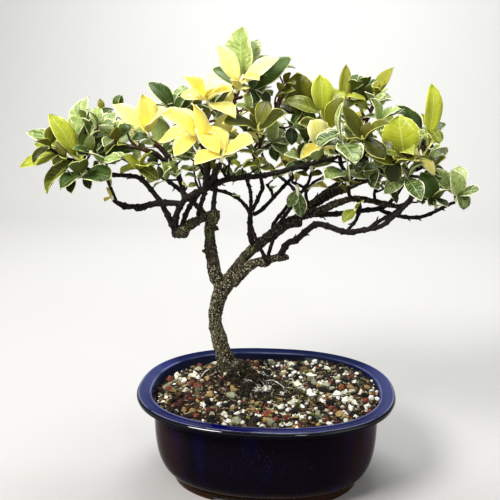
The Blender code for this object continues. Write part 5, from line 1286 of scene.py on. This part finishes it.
def twig_points(start, start_way, end, end_way):
    """A smooth twig that leaves the wood one way and reaches the shoot in the shoot's own direction."""
    length = (end - start).length
    near = start + start_way * length * 0.3
    far = end - end_way * length * 0.35
    points = []
    for step in range(TWIG_STEPS + 1):
        t = step / TWIG_STEPS
        s = 1 - t
        points.append(start * s ** 3 + near * 3 * s * s * t + far * 3 * s * t * t + end * t ** 3)
    return points


def nearest_wood(spot):
    """The point on the routes that a twig to this place would grow from, and the way the wood runs."""
    best = None
    for name, route in ROUTES.items():
        if name in GROUND_ROUTES or name.endswith(("nub", "cut")):
            continue
        line = [from_picture(*point[:3]) for point in route]
        for one, other in zip(line, line[1:]):
            span = other - one
            share = min(max((spot - one).dot(span) / span.length_squared, 0.0), 1.0)
            foot = one + span * share
            distance = (spot - foot).length
            too_high = max(foot.z - spot.z, 0) * 2
            if best is None or distance + too_high < best[0]:
                best = (distance + too_high, foot, span.normalized())
    return best[1], best[2]


plain_twigs = [route_line(name) for name in ROUTES if name not in LIMBS]
for name, leaf_colour, foot, head, leaves in grown_sprays:
    start, start_way = nearest_wood(foot)
    way = (head - foot).normalized()
    if (foot - start).length < 1 * MM:
        continue
    if start_way.dot(foot - start) < 0:
        start_way = -start_way
    points = twig_points(start, start_way, foot, way)
    if (foot - start).length < SHORT_TWIG:
        points = [start, foot - way * TWIG_END, foot]
    last = len(points) - 1
    plain_twigs.append((points, [TWIG_THICK - TWIG_TAPER * step / last for step in range(last + 1)]))

twig_lines, perches = [], []
draw = random.Random(31)
twig_points_of = [point for points, thicknesses in plain_twigs for point in points]
side_shoots = []
for across, down, behind, leaf_colour, count, longest in SIDE_SHOOTS:
    head = from_picture(across, down, behind)
    below = [point for point in twig_points_of if point.z < head.z - 2 * MM] or twig_points_of
    start = min(below, key=lambda point: (point - head).length)
    wooden, start_way = nearest_wood(head)
    if (wooden - head).length < (start - head).length:
        start = wooden
    side = Vector((draw.gauss(0, 0.12), draw.gauss(0, 0.12), draw.uniform(-0.1, 0.12)))
    side *= (head - start).length
    side_shoots.append((start.lerp(head, 0.5), head, leaf_colour, count, longest * MM))
    plain_twigs.append(([start, start.lerp(head, 0.5) + side, head], SIDE_SHOOT_THICK))
for points, thicknesses in plain_twigs:
    places, widths = even_path(points, thicknesses, RING_SPACING)
    widths, at_nodes = swollen(places, widths, draw)
    for number in range(1, len(places) - 1):
        places[number] += Vector((draw.gauss(0, 1), draw.gauss(0, 1), draw.gauss(0, 1))) * TWIG_STRAY * MM
    twig_lines.append((places, widths))
    for number in at_nodes:
        along = (places[number] - places[number - 1]).normalized()
        level = along.cross(Vector((0.01, 0, 1))).normalized()
        out = turned(level, along, draw.uniform(0, 360))
        perches.append((places[number], (out + along * 0.4).normalized(), widths[number]))
        if draw.random() < SPUR_SHARE:
            way = (out + along * draw.uniform(0.2, 1.1)).normalized()
            length = draw.uniform(*SPUR_LENGTHS) * MM
            bend = along * draw.uniform(0.1, 0.5) * MM
            foot = places[number]
            skin = foot + way * widths[number] / 2 * MM
            spur = [foot, skin + way * length / 2, skin + way * length + bend]
            twig_lines.append((spur, SPUR_THICK))


def wood_piece(name, lines, resolution, paint):
    """Makes the tubes along these lines a piece of its own."""
    shape = tubes(name, lines, resolution)
    bmesh.ops.recalc_face_normals(shape, faces=shape.faces)
    shade_round(shape)
    object_of(shape, name, [paint.material], "bark")


TWIG_BARK = Paint("twig bark", specular_ior_level=0.22)
place = TWIG_BARK.place()
x, y, z = TWIG_BARK.parts(place)
mottle = TWIG_BARK.noise(place, 520, 5, 0.6)
patches = TWIG_BARK.noise(place, 60, 3)
twig_colour = TWIG_BARK.blend(TWIG_BARK.smooth(mottle, 0.36, 0.66), colour(6, 5, 4), colour(34, 26, 21))
pore = TWIG_BARK.smooth(TWIG_BARK.cells(place, 620, "Distance"), 0.26, 0.14)
twig_colour = TWIG_BARK.blend(pore * 0.25, twig_colour, colour(140, 128, 108))
up_in_leaves = TWIG_BARK.smooth(z + (patches - 0.5) * 0.05, 0.256, 0.284)
young = TWIG_BARK.blend(TWIG_BARK.smooth(mottle, 0.4, 0.7), colour(64, 30, 18), colour(146, 84, 44))
TWIG_BARK.set("Base Color", TWIG_BARK.blend(up_in_leaves * 0.75, twig_colour, young))
TWIG_BARK.set("Roughness", 0.9 - up_in_leaves * 0.25)
TWIG_BARK.bump(mottle + pore * 0.6, 0.6, 0.0007)
wood_piece("side_branches_and_twigs", twig_lines, 2, TWIG_BARK)


# Small leaves and buds
# Between the clusters the twigs carry scattered small leaves, some hardly out of the bud, singly or in
# pairs at the swollen rings they grow from, in the same five colours as the big leaves near them.

SMALL_LEAVES = 620
LEAFY_ABOVE = 0.226
FULL_ABOVE = 0.256
LOW_SHARE = 0.3
SMALL_LENGTHS = (8, 19)
SMALL_WIDTH_SHARES = (0.48, 0.7)
SMALL_FOLDS = (0.2, 0.5)
SMALL_ARCHES = (0.03, 0.1)
SMALL_THICK = 0.8 * MM
SMALL_CLEARANCE = 1.2 * MM
THICKEST_PERCH = 4.2
SHOOT_PERCHES = (0.1, 0.3, 0.5, 0.7)
SHOOT_PERCH_THICK = 2.2
PAIR_TRIES = 7
BARE_SHOOTS = ("hanging_small", "low_yellow_green", "left_buds")
draw = random.Random(77)
small = {name: bmesh.new() for name in LEAF_FINISH}


def small_leaf_set(spot, way, thick, length, leaf_colour):
    """Sets a small leaf on the twig if it would cross nothing there, and says whether it could."""
    width = length * draw.uniform(*SMALL_WIDTH_SHARES)
    base = spot + way * thick * 0.4 * MM
    stray = Vector((draw.gauss(0, 0.3), draw.gauss(-0.15, 0.3), draw.gauss(0.2, 0.3)))
    along = (way + stray).normalized()
    facing = Vector((draw.uniform(-0.4, 0.4), draw.uniform(-0.8, 0.1), 0.9)).normalized()
    fold, arch = draw.uniform(*SMALL_FOLDS), draw.uniform(*SMALL_ARCHES)
    lies = (base, base + along * length, facing, width, fold, arch)
    start = base + along * length * 0.25
    test = blade(start, lies[1], facing, width * 1.1, fold, arch, SMALL_CLEARANCE, 1)
    clear = is_clear(test, others)
    test.free()
    if not clear:
        return False
    test = blade(*lies, SMALL_THICK, 1)
    others.append(obstacle(test))
    test.free()
    mesh = grown_leaf(*lies, draw, SMALL_COLUMNS, SMALL_ROWS)[0]
    small[leaf_colour].from_mesh(mesh)
    bpy.data.meshes.remove(mesh)
    return True


for foot, head, leaf_colour, count, longest in side_shoots:
    way = (head - foot).normalized()
    level = way.cross(Vector((0.01, 0, 1))).normalized()
    first_turn = draw.uniform(0, 360)
    for number in range(count):
        for attempt in range(PAIR_TRIES):
            out = turned(level, way, first_turn + 180 * number + 90 * (number // 2) + 25 * attempt)
            spot = foot.lerp(head, 1 - 0.3 * (number // 2) / count)
            length = longest * draw.uniform(0.75, 1.0)
            if small_leaf_set(spot, (out + way * 0.5).normalized(), 1.2, length, leaf_colour):
                break
spray_spots = [(foot.lerp(head, 0.6), leaf_colour) for name, leaf_colour, foot, head, leaves in grown_sprays]
spray_spots += [(head, leaf_colour) for foot, head, leaf_colour, count, longest in side_shoots]
choices = [
    perch for perch in perches
    if perch[2] < THICKEST_PERCH and perch[0].z > LEAFY_ABOVE
    and (perch[0].z > FULL_ABOVE or draw.random() < LOW_SHARE)
]
for name, leaf_colour, foot, head, leaves in grown_sprays:
    if name in BARE_SHOOTS:
        continue
    way = (head - foot).normalized()
    level = way.cross(Vector((0, 0, 1))).normalized()
    for share in SHOOT_PERCHES:
        for around in (0, 180):
            out = turned(level, way, around + draw.uniform(-80, 80))
            choices.append((foot.lerp(head, share), (out + way * 0.5).normalized(), SHOOT_PERCH_THICK))
draw.shuffle(choices)
set_down = 0
for spot, way, thick in choices:
    if set_down == SMALL_LEAVES:
        break
    leaf_colour = min(spray_spots, key=lambda other: (other[0] - spot).length)[1]
    if small_leaf_set(spot, way, thick, draw.uniform(*SMALL_LENGTHS) * MM, leaf_colour):
        set_down += 1
for leaf_colour, grown in small.items():
    if grown.faces:
        name = "small_" + leaf_colour + "_leaves"
        object_of(grown, name, [LEAF_FINISH[leaf_colour]], leaf_colour + "_leaf")


# Soil
# A gritty bonsai mix fills the pot to just under its rim and is mounded about the trunk.
# The fill is one body; the loose grains, moss and dead roots that make its top lie on it.

SOIL_AT_WALL = 68
SOIL_RISE_RIGHT = 4
# The soil rises to the right, from this far left of the pot's middle on and over this length.
RISE_FROM = -45
RISE_OVER = 110
MOUND = 11
MOUND_WIDE = 25
BED_BELOW = 1.2
SOIL_CLEAR = 0.8
BED_CLEAR = 0.6
SOIL_ROUND = 120
SOIL_RINGS = 44
trunk_foot = from_picture(*ROUTES["trunk"][2][:3]) / MM


def soil_level(x, y):
    """Height of the soil in mm at a place measured in mm from the pot's middle."""
    to_trunk = Vector((x, y, 0)) + POT_MIDDLE / MM - trunk_foot
    away = (to_trunk.x ** 2 + 1.3 * to_trunk.y ** 2) / MOUND_WIDE ** 2
    right = min(max((x - RISE_FROM) / RISE_OVER, 0), 1)
    return SOIL_AT_WALL + SOIL_RISE_RIGHT * right + MOUND * math.exp(-away)


def bed_height(x, y):
    """The fine grit lies a little lower than the tops of the grains on it."""
    swell = 0.9 * noise.noise(Vector((x * 0.11, y * 0.11, 0)))
    return soil_level(x, y) - BED_BELOW + swell + 0.7 * noise.noise(Vector((x * 0.4, y * 0.4, 5)))


def inner_half_length(height):
    """Half length of the pot's inside near the top: upright, then flaring out to the opening."""
    flare = (OPENING_HALF_LENGTH - INNER_HALF_LENGTH) / (OPENING_HEIGHT - FLARE_FROM)
    return INNER_HALF_LENGTH + flare * max(height - FLARE_FROM, 0)


wall = INNER_HALF_LENGTH - BED_CLEAR
shape = bmesh.new()
edge_points = [shape.verts.new((wall * number / SOIL_RINGS, 0, 0)) for number in range(SOIL_RINGS + 1)]
spokes = [shape.edges.new(pair) for pair in zip(edge_points, edge_points[1:])]
bmesh.ops.spin(
    shape, geom=edge_points + spokes, cent=(0, 0, 0), axis=(0, 0, 1), angle=2 * math.pi, steps=SOIL_ROUND,
    use_merge=True,
)
bmesh.ops.remove_doubles(shape, verts=shape.verts, dist=0.001)
rim = [edge for edge in shape.edges if edge.is_boundary]
for corner in shape.verts:
    angle, out = math.atan2(corner.co.y, corner.co.x), math.hypot(corner.co.x, corner.co.y) / wall
    at_edge = inner_half_length(soil_level(*on_plan(angle, wall)) - BED_BELOW) - SOIL_CLEAR
    x, y = on_plan(angle, out * at_edge)
    corner.co = (x, y, bed_height(x, y))
share = half_depth_share(wall)
skirt = ((wall, FLARE_FROM - 2), (wall, 40), (wall - 3.5, FLOOR_TOP + 8.3), (wall - 14, FLOOR_TOP + 0.4))
for half_length, height in skirt:
    made = bmesh.ops.extrude_edge_only(shape, edges=rim)["geom"]
    rim = [item for item in made if isinstance(item, bmesh.types.BMEdge)]
    for corner in {v for edge in rim for v in edge.verts}:
        angle = math.atan2(corner.co.y / share, corner.co.x)
        corner.co = (*on_plan(angle, half_length), height)
    share = half_depth_share(half_length)
bmesh.ops.contextual_create(shape, geom=rim)
bmesh.ops.recalc_face_normals(shape, faces=shape.faces)
bmesh.ops.scale(shape, vec=(MM, MM, MM), verts=shape.verts)
bmesh.ops.translate(shape, vec=POT_MIDDLE, verts=shape.verts)
shade_round(shape)
BED = Paint("fine grit", specular_ior_level=0.25, roughness=0.95)
place = BED.place()
crumb, second, third = BED.parts(BED.cells(place, 520, "Color"))
fine = BED.noise(place, 700, 4, 0.65)
# The fill is kept very dark: partly its own fine grit, partly painted shade in the gaps between the grains.
bed_colour = BED.blend(BED.smooth(crumb, 0.3, 0.8), colour(14, 11, 9), colour(52, 38, 27))
bed_colour = BED.blend(BED.smooth(second, 0.86, 0.9), bed_colour, colour(120, 106, 80))
bed_colour = BED.blend(BED.smooth(third, 0.88, 0.92) * 0.8, bed_colour, colour(84, 42, 30))
BED.set("Base Color", BED.blend(BED.smooth(fine, 0.5, 0.3) * 0.7, bed_colour, colour(20, 15, 12)))
BED.bump(fine + crumb * 0.6, 0.9, 0.0012)
bed = object_of(shape, "soil_fill", [BED.material], "grit")
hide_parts("soil")


# Loose grains
# The top dressing: sharp white pumice, red and black lava, rounded tan clay and a little grey-green
# stone, mostly 1 to 8 mm across, tumbled together on the finer grit of the fill, with some moss.


def grain_paint(name, dark, light, deep, rough, pits):
    """A stone finish: a tint drawn for each grain, cloudy inside it, with darker pits."""
    paint = Paint(name, specular_ior_level=0.3, roughness=rough)
    spot = paint.place()
    luck = paint.attribute("luck")
    cloud = paint.noise(spot, 380, 4, 0.6)
    grainy = paint.noise(spot, 1500, 3, 0.7)
    body = paint.blend(paint.smooth(luck * 0.75 + cloud * 0.5, 0.25, 0.95), dark, light)
    pit = paint.smooth(grainy, 0.5 - pits * 0.3, 0.36 - pits * 0.3)
    paint.set("Base Color", paint.blend((pit + paint.smooth(cloud, 0.42, 0.3) * 0.5) * 0.7, body, deep))
    paint.bump(grainy + cloud * 0.7, 0.8, 0.0009)
    return paint.material


def grain_kind(name, common_big, common_small, dark, light, deep, roughness, pits):
    """A kind of grain: its name, how common it is among big and among small ones, and its finish."""
    return name, common_big, common_small, grain_paint(name, dark, light, deep, roughness, pits)


# Black lava is by far the commonest small grain: partly the mix's dark fines, partly painted shade in the
# gaps between the larger grains.
GRAINS = (
    grain_kind("pumice", 33, 4, colour(214, 213, 190), colour(255, 254, 248), colour(136, 132, 104), 0.9, 0),
    grain_kind("red_lava", 13, 6, colour(62, 32, 24), colour(150, 76, 56), colour(30, 15, 12), 0.92, -0.2),
    grain_kind("black_lava", 27, 66, colour(8, 7, 6), colour(38, 30, 24), colour(4, 4, 3), 0.9, -0.2),
    grain_kind("baked_clay", 20, 22, colour(66, 48, 27), colour(170, 144, 92), colour(32, 22, 12), 0.95, 0.1),
    grain_kind("grey_stone", 9, 6, colour(62, 66, 48), colour(156, 160, 130), colour(30, 34, 22), 0.85, 0.2),
)
MOSS = grain_paint("moss crumb", colour(50, 54, 18), colour(122, 128, 54), colour(26, 30, 10), 0.95, 0.2)
TEMPLATES = 14
# How many places are tried, and the smallest and largest size there in mm.
LARGE_GRAINS = (420, 3.8, 6.2)
MIDDLE_GRAINS = (1200, 2.6, 3.8)
SMALL_GRAINS = (12000, 1.1, 2.4)
BIG_FROM = 2.8
# How far a grain's middle lies above the fill, as a share of its size.
MIDDLE_ABOVE_BED = (0.05, 0.3)
OFF_TRUNK = 8.5
MOSS_CRUMBS = 90
MOSS_SIZES = (1.6, 3.2)
MOSS_ABOVE_BED = 1.6
MOSS_ANGLES = (-1.9, 1.2)
MOSS_REACH = (0.15, 0.97)
# A drift of fine white pumice lies in front of the trunk.
WHITE_PATCH = 46
WHITE_PATCH_AT = (264, 385, 1)
WHITE_SIZES = (1.2, 2.8)
WHITE_ABOVE_BED = 3.4
# The main grains: their draw, sizes and spacing are the ones that the soil's solid is raised by.
MAIN_SEED = 21
MAIN_TRIES = 6000
MAIN_SIZES = (5.6, 8.4)
MAIN_APART = 12.5
MAIN_OFF_WOOD = 12
MAIN_RISE = 0.02
# How near two grains may come, as a share of their mean size, and the side of the squares they are
# looked up by.
CLOSEST = 0.8
SQUARE = 7
# Towards the left end the mix is browner: that share of the pumice there is baked clay or lava.
BROWNER_LEFT_OF = -20
BROWNER_SHARE = 0.45
# At the back right it is paler: that share of the lava and baked clay there is pumice or grey stone.
PALER_RIGHT_OF = -6
PALER_BEHIND = 14
PALER_SHARE = 0.4


def grain_template(seed):
    """A rough pebble of a few dozen faces, one unit across."""
    draw = random.Random(seed)
    pebble = bmesh.new()
    bmesh.ops.create_cube(pebble, size=1)
    bmesh.ops.subdivide_edges(pebble, edges=pebble.edges, cuts=1, use_grid_fill=True, smooth=0.75)
    offset = Vector((draw.uniform(0, 50), draw.uniform(0, 50), draw.uniform(0, 50)))
    stretch = Vector((1, draw.uniform(0.7, 0.95), draw.uniform(0.5, 0.8)))
    for corner in pebble.verts:
        corner.co = corner.co.normalized() * 0.5 * (1 + 0.9 * noise.noise(corner.co * 2.6 + offset))
        corner.co = Vector((corner.co.x * stretch.x, corner.co.y * stretch.y, corner.co.z * stretch.z))
    bmesh.ops.recalc_face_normals(pebble, faces=pebble.faces)
    pebble.faces.layers.float.new("luck")
    mesh = bpy.data.meshes.new("pebble")
    pebble.to_mesh(mesh)
    pebble.free()
    return mesh


templates = [grain_template(seed) for seed in range(TEMPLATES)]
heaps = {name: bmesh.new() for name, common_big, common_small, material in GRAINS}
heaps["moss"] = bmesh.new()
names = [grain[0] for grain in GRAINS]
draw = random.Random(5)
laid = {}


def square_of(x, y):
    return int(x // SQUARE), int(y // SQUARE)


def too_close(x, y, size):
    """Whether a grain here would lie mostly inside one that is there already."""
    column, row = square_of(x, y)
    for near_column in (column - 1, column, column + 1):
        for near_row in (row - 1, row, row + 1):
            for other_x, other_y, other_size in laid.get((near_column, near_row), ()):
                if math.hypot(x - other_x, y - other_y) < CLOSEST * (size + other_size) / 2:
                    return True
    return False


def lay_grain(kind, spot, size):
    """Puts one tumbled grain down; the spot is in mm from the pot's middle, with the height it lies at."""
    turn = Matrix.Rotation(draw.uniform(0, 6.3), 4, "Z") @ Matrix.Rotation(draw.uniform(-0.6, 0.6), 4, "X")
    mesh = draw.choice(templates).copy()
    mesh.transform(Matrix.Translation(POT_MIDDLE + spot * MM) @ turn @ Matrix.Scale(size * MM, 4))
    heap = heaps[kind]
    known = len(heap.faces)
    heap.from_mesh(mesh)
    bpy.data.meshes.remove(mesh)
    heap.faces.ensure_lookup_table()
    luck_of = heap.faces.layers.float["luck"]
    luck = draw.random()
    for face in heap.faces[known:]:
        face[luck_of] = luck


def kind_drawn(x, y, big):
    """A kind of grain drawn for this place: browner at the left, paler at the back right."""
    kind = draw.choices(names, [grain[1] if big else grain[2] for grain in GRAINS])[0]
    if kind == "pumice" and x < BROWNER_LEFT_OF and draw.random() < BROWNER_SHARE:
        return draw.choice(("baked_clay", "black_lava"))
    reddish = kind in ("red_lava", "baked_clay")
    if reddish and x > PALER_RIGHT_OF and y > PALER_BEHIND and draw.random() < PALER_SHARE:
        return draw.choice(("pumice", "pumice", "grey_stone"))
    return kind


def main_grains():
    """The largest grains, where the soil's own solid has them, as (x, y, size) in mm."""
    draw = random.Random(MAIN_SEED)
    inside = INNER_HALF_LENGTH - SOIL_CLEAR
    wood = [from_picture(*point[:3]) for name in GROUND_ROUTES for point in ROUTES[name]]
    found = []
    for attempt in range(MAIN_TRIES):
        size = draw.uniform(*MAIN_SIZES)
        x, y = on_plan(draw.uniform(0, 2 * math.pi), (inside - size) * math.sqrt(draw.random()))
        # The turn of the solid's grain is drawn too, so that the next place is the solid's again.
        draw.uniform(0, 2 * math.pi)
        spot = Vector((x, y, 0)) + POT_MIDDLE / MM
        from_wood = min(math.hypot(spot.x - stem.x / MM, spot.y - stem.y / MM) for stem in wood)
        if from_wood > MAIN_OFF_WOOD and all(
            math.hypot(x - other[0], y - other[1]) > MAIN_APART for other in found
        ):
            found.append((x, y, size))
    return found


draw = random.Random(9)
for x, y, size in main_grains():
    laid.setdefault(square_of(x, y), []).append((x, y, size))
    lay_grain(kind_drawn(x, y, True), Vector((x, y, soil_level(x, y) + size * MAIN_RISE)), size)
for tries, smallest, largest in (LARGE_GRAINS, MIDDLE_GRAINS, SMALL_GRAINS):
    for attempt in range(tries):
        size = draw.uniform(smallest, largest)
        angle = draw.uniform(0, 2 * math.pi)
        at_edge = inner_half_length(soil_level(*on_plan(angle, wall)))
        x, y = on_plan(angle, (at_edge - size * 0.45) * math.sqrt(draw.random()))
        from_trunk = Vector((x, y, 0)) + POT_MIDDLE / MM - trunk_foot
        if too_close(x, y, size) or math.hypot(from_trunk.x, from_trunk.y) < OFF_TRUNK:
            continue
        laid.setdefault(square_of(x, y), []).append((x, y, size))
        lies_at = bed_height(x, y) + size * draw.uniform(*MIDDLE_ABOVE_BED)
        lay_grain(kind_drawn(x, y, size > BIG_FROM), Vector((x, y, lies_at)), size)
for number in range(MOSS_CRUMBS):
    x, y = on_plan(draw.uniform(*MOSS_ANGLES), wall * draw.uniform(*MOSS_REACH))
    size = draw.uniform(*MOSS_SIZES)
    lay_grain("moss", Vector((x, y, bed_height(x, y) + MOSS_ABOVE_BED + size * 0.15)), size)
for number in range(WHITE_PATCH):
    across, down, behind = WHITE_PATCH_AT
    spot = from_picture(across + draw.gauss(0, 4), down, behind + draw.gauss(0, 2.6))
    spot = (spot - POT_MIDDLE) / MM
    lies_at = bed_height(spot.x, spot.y) + WHITE_ABOVE_BED
    lay_grain("pumice", Vector((spot.x, spot.y, lies_at)), draw.uniform(*WHITE_SIZES))
for name, common_big, common_small, material in GRAINS:
    object_of(heaps[name], name + "_grains", [material], "grit")
object_of(heaps["moss"], "moss_crumbs", [MOSS], "grit")


# Dead roots and moss
# Pale roots lie in arcs over the mound, and short dead ones are strewn over the whole soil. Beside the
# trunk fine roots and dried moss have felted together to a dark tangle, with a few pale strands on it.

# The arcs as points (across, down, mm behind the target).
ROOT_ARCS = (
    ((234, 382, 14), (238, 376, 16), (243, 373.5, 16), (250, 374, 13), (257, 378, 8)),
    ((246, 366, 20), (254, 369, 15), (262, 376, 9), (268, 386, 1)),
    ((222, 368, 24), (214, 366, 27), (205, 370, 26), (199, 377, 20)),
    ((262, 372, 14), (272, 374, 12), (281, 380, 6), (289, 388, -2)),
    ((240, 388, 6), (248, 384, 8), (256, 386, 5), (262, 393, -2)),
)
FELT_MIDDLE = (264, 382)
PALE_STRANDS_LEFT = 6
FELT_FIBRES = 1300
# Fibres that cling to the two roots next to it.
TOE_FIBRES = 700
# Short dead roots strewn over the soil.
STRAWS = 300
PALE_STRANDS = 34
# How thick each kind is at its foot, middle and end, in mm.
STRAW_THICK = [0.5, 0.55, 0.35]
FIBRE_THICK = [0.45, 0.5, 0.3]
TOE_FIBRE_THICK = [0.5, 0.6, 0.3]
STRAND_THICK = [0.35, 0.45, 0.25]
ON_SOIL = 1.1
ARC_HUMP = 3.9
# In the picture the mound's crest is this far down and this many mm behind the target, and a pixel
# further down its slope comes this many mm nearer.
CREST_DOWN = 366
CREST_BEHIND = 26
NEARER_BY = 1.35


def onto_soil(spot, lift):
    """A place moved straight up or down until it lies this many mm above the bed."""
    flat = (spot - POT_MIDDLE) / MM
    return Vector((spot.x, spot.y, (bed_height(flat.x, flat.y) + lift) * MM))


def on_mound(across, down, lift):
    """The place on the mound in front of the trunk that shows near this pixel."""
    behind = CREST_BEHIND - (down - CREST_DOWN) * NEARER_BY
    return onto_soil(from_picture(across, down, behind), lift)


def strand(start, length, lift):
    """A short bent strand that lies on the soil."""
    way = Vector((draw.gauss(0, 1), draw.gauss(0, 1), 0)).normalized()
    bend = way.cross(Vector((0, 0, 1))) * draw.uniform(-0.28, 0.28) * length
    middle = start + (way * length / 2 + bend + Vector((0, 0, draw.uniform(0.1, 1.1)))) * MM
    return [start, middle, onto_soil(start + way * length * MM, lift)]


def root_paint(name, dark, light, roughness):
    """A dry mottled root finish."""
    paint = Paint(name, specular_ior_level=0.3, roughness=roughness)
    mottle = paint.noise(paint.place(), 300, 4)
    paint.set("Base Color", paint.blend(paint.smooth(mottle, 0.35, 0.65), dark, light))
    paint.bump(mottle, 0.5, 0.0005)
    return paint


draw = random.Random(12)
arc_lines = []
for arc in ROOT_ARCS:
    points = []
    for number, point in enumerate(arc):
        hump = ARC_HUMP * math.sin(math.pi * number / (len(arc) - 1))
        points.append(onto_soil(from_picture(*point), ON_SOIL + hump))
    arc_lines.append(even_path(points, [0.7, *[1.0] * (len(points) - 2), 0.5], 0.8))
PALE_ROOT = root_paint("pale surface root", colour(118, 114, 104), colour(206, 202, 190), 0.8)
wood_piece("surface_roots", arc_lines, 2, PALE_ROOT)

root_lines = []
for number in range(STRAWS):
    x, y = on_plan(draw.uniform(0, 2 * math.pi), wall * 0.97 * math.sqrt(draw.random()))
    start = onto_soil(POT_MIDDLE + Vector((x, y, 0)) * MM, draw.uniform(1, 2.2))
    length = draw.uniform(2.5, 7)
    inside = start + Vector((TARGET.x - start.x, TARGET.y - start.y, 0)).normalized() * length * MM
    line = strand(start, length, 1.6)
    line[2] = line[2].lerp(onto_soil(inside, 1.6), 0.5)
    root_lines.append((line, STRAW_THICK))
ROOT = root_paint("dead root", colour(76, 58, 38), colour(190, 176, 148), 0.85)
wood_piece("dead_roots", root_lines, 2, ROOT)

fibre_lines = []
for number in range(FELT_FIBRES):
    across = FELT_MIDDLE[0] + draw.gauss(0, 12)
    down = FELT_MIDDLE[1] + draw.gauss(0, 6)
    start = on_mound(across, down, draw.uniform(1.0, 3.8))
    fibre_lines.append((strand(start, draw.uniform(2, 6), draw.uniform(0.6, 2.4)), FIBRE_THICK))
for number in range(TOE_FIBRES):
    places, widths = even_path(*route_line(draw.choice(("root_right", "root_front"))), 1.0)
    pick = draw.randrange(len(places) * 2 // 5, len(places))
    out = Vector((draw.gauss(0, 1), draw.gauss(0, 1), abs(draw.gauss(0.4, 1)))).normalized()
    way = out.cross(Vector((draw.gauss(0, 1), draw.gauss(0, 1), draw.gauss(0, 1)))).normalized()
    start = places[pick] + out * (widths[pick] / 2 + draw.uniform(0.2, 1.2)) * MM
    length = draw.uniform(2, 5) * MM
    middle = start + (way * 0.5 + out * 0.12) * length
    fibre_lines.append(([start, middle, start + way * length], TOE_FIBRE_THICK))
FELT = Paint("root felt and moss", roughness=0.95, specular_ior_level=0.2)
place = FELT.place()
tone = FELT.noise(place, 260, 3)
felt_colour = FELT.blend(FELT.smooth(tone, 0.38, 0.6), colour(16, 14, 10), colour(60, 53, 38))
FELT.set("Base Color", FELT.blend(FELT.smooth(tone, 0.6, 0.72) * 0.7, felt_colour, colour(94, 98, 60)))
wood_piece("root_felt", fibre_lines, 0, FELT)
strand_lines = []
for number in range(PALE_STRANDS):
    across = FELT_MIDDLE[0] - PALE_STRANDS_LEFT + draw.gauss(0, 15)
    down = FELT_MIDDLE[1] + draw.gauss(0, 6)
    start = on_mound(across, down, draw.uniform(2.6, 4.2))
    strand_lines.append((strand(start, draw.uniform(4, 9), 2.8), STRAND_THICK))
wood_piece("pale_strands", strand_lines, 1, PALE_ROOT)


# Studio
# A seamless pale sheet, with soft daylight from the upper left, a weaker fill from the right and a
# low sky, and the camera at the angle from which the plant was photographed.

SHEET_SIZE = 6.0
SHEET_RISE_AT = 1.1
SHEET_CURVE = 1.2
shape = bmesh.new()
bmesh.ops.create_grid(shape, x_segments=2, y_segments=60, size=SHEET_SIZE / 2)
for corner in shape.verts:
    past = max(corner.co.y - SHEET_RISE_AT, 0)
    corner.co.z = SHEET_CURVE * past ** 2
mesh = bpy.data.meshes.new("sheet")
shape.to_mesh(mesh)
shape.free()
mesh.shade_smooth()
SHEET = Paint("pale sheet", base_color=colour(178, 177, 176), roughness=0.8, specular_ior_level=0.2)
mesh.materials.append(SHEET.material)
sheet = bpy.data.objects.new("pale_sheet", mesh)
bpy.context.scene.collection.objects.link(sheet)


def soft_light(name, place, aim, size, power, tint):
    """A round lamp of this size in metres at a place, aimed at another."""
    lamp = bpy.data.lights.new(name, "AREA")
    lamp.shape = "DISK"
    lamp.size = size
    lamp.energy = power
    lamp.color = tint
    thing = bpy.data.objects.new(name, lamp)
    bpy.context.scene.collection.objects.link(thing)
    facing = (aim - place).to_track_quat("-Z", "Y").to_matrix().to_4x4()
    thing.matrix_world = Matrix.Translation(place) @ facing


plant_middle, sheet_behind = Vector((0.01, 0, 0.2)), Vector((0, 1.9, 0.75))
soft_light("key", Vector((-0.7, -0.75, 1.15)), plant_middle, 0.55, 29, (1.0, 0.98, 0.945))
soft_light("fill", Vector((1.1, -0.7, 0.7)), plant_middle, 1.1, 3.5, (0.94, 0.97, 1.0))
soft_light("top", Vector((0.1, 0.35, 1.5)), plant_middle, 0.9, 12, (1.0, 1.0, 1.0))
soft_light("backdrop", Vector((0.0, 0.7, 1.7)), sheet_behind, 1.2, 46, (0.98, 1.0, 0.995))
soft_light("glint", Vector((0.45, -1.2, 1.0)), plant_middle, 0.2, 3, (1.0, 1.0, 1.0))
world = bpy.data.worlds.new("soft sky")
world.use_nodes = True
sky = world.node_tree.nodes["Background"]
sky.inputs["Color"].default_value = colour(244, 243, 240)
sky.inputs["Strength"].default_value = 0.22
bpy.context.scene.world = world

rightward = Vector((math.cos(CAMERA_TURN), math.sin(CAMERA_TURN), 0))
forward = Vector((-math.sin(CAMERA_TURN), math.cos(CAMERA_TURN), 0))
lens = bpy.data.cameras.new("camera")
lens.sensor_width = 36
lens.lens = FOCAL_PIXELS / (2 * PICTURE_MIDDLE) * lens.sensor_width
camera = bpy.data.objects.new("camera", lens)
bpy.context.scene.collection.objects.link(camera)
camera_place = TARGET + (
    Vector((0, 0, CAMERA_HEIGHT)) - rightward * CAMERA_LEFT - forward * CAMERA_AWAY
) * MM
look = forward * math.cos(CAMERA_TILT) - Vector((0, 0, 1)) * math.sin(CAMERA_TILT)
facing = look.to_track_quat("-Z", "Y").to_matrix().to_4x4()
camera.matrix_world = Matrix.Translation(camera_place) @ facing
bpy.context.scene.camera = camera
bpy.context.scene.view_settings.view_transform = "Standard"
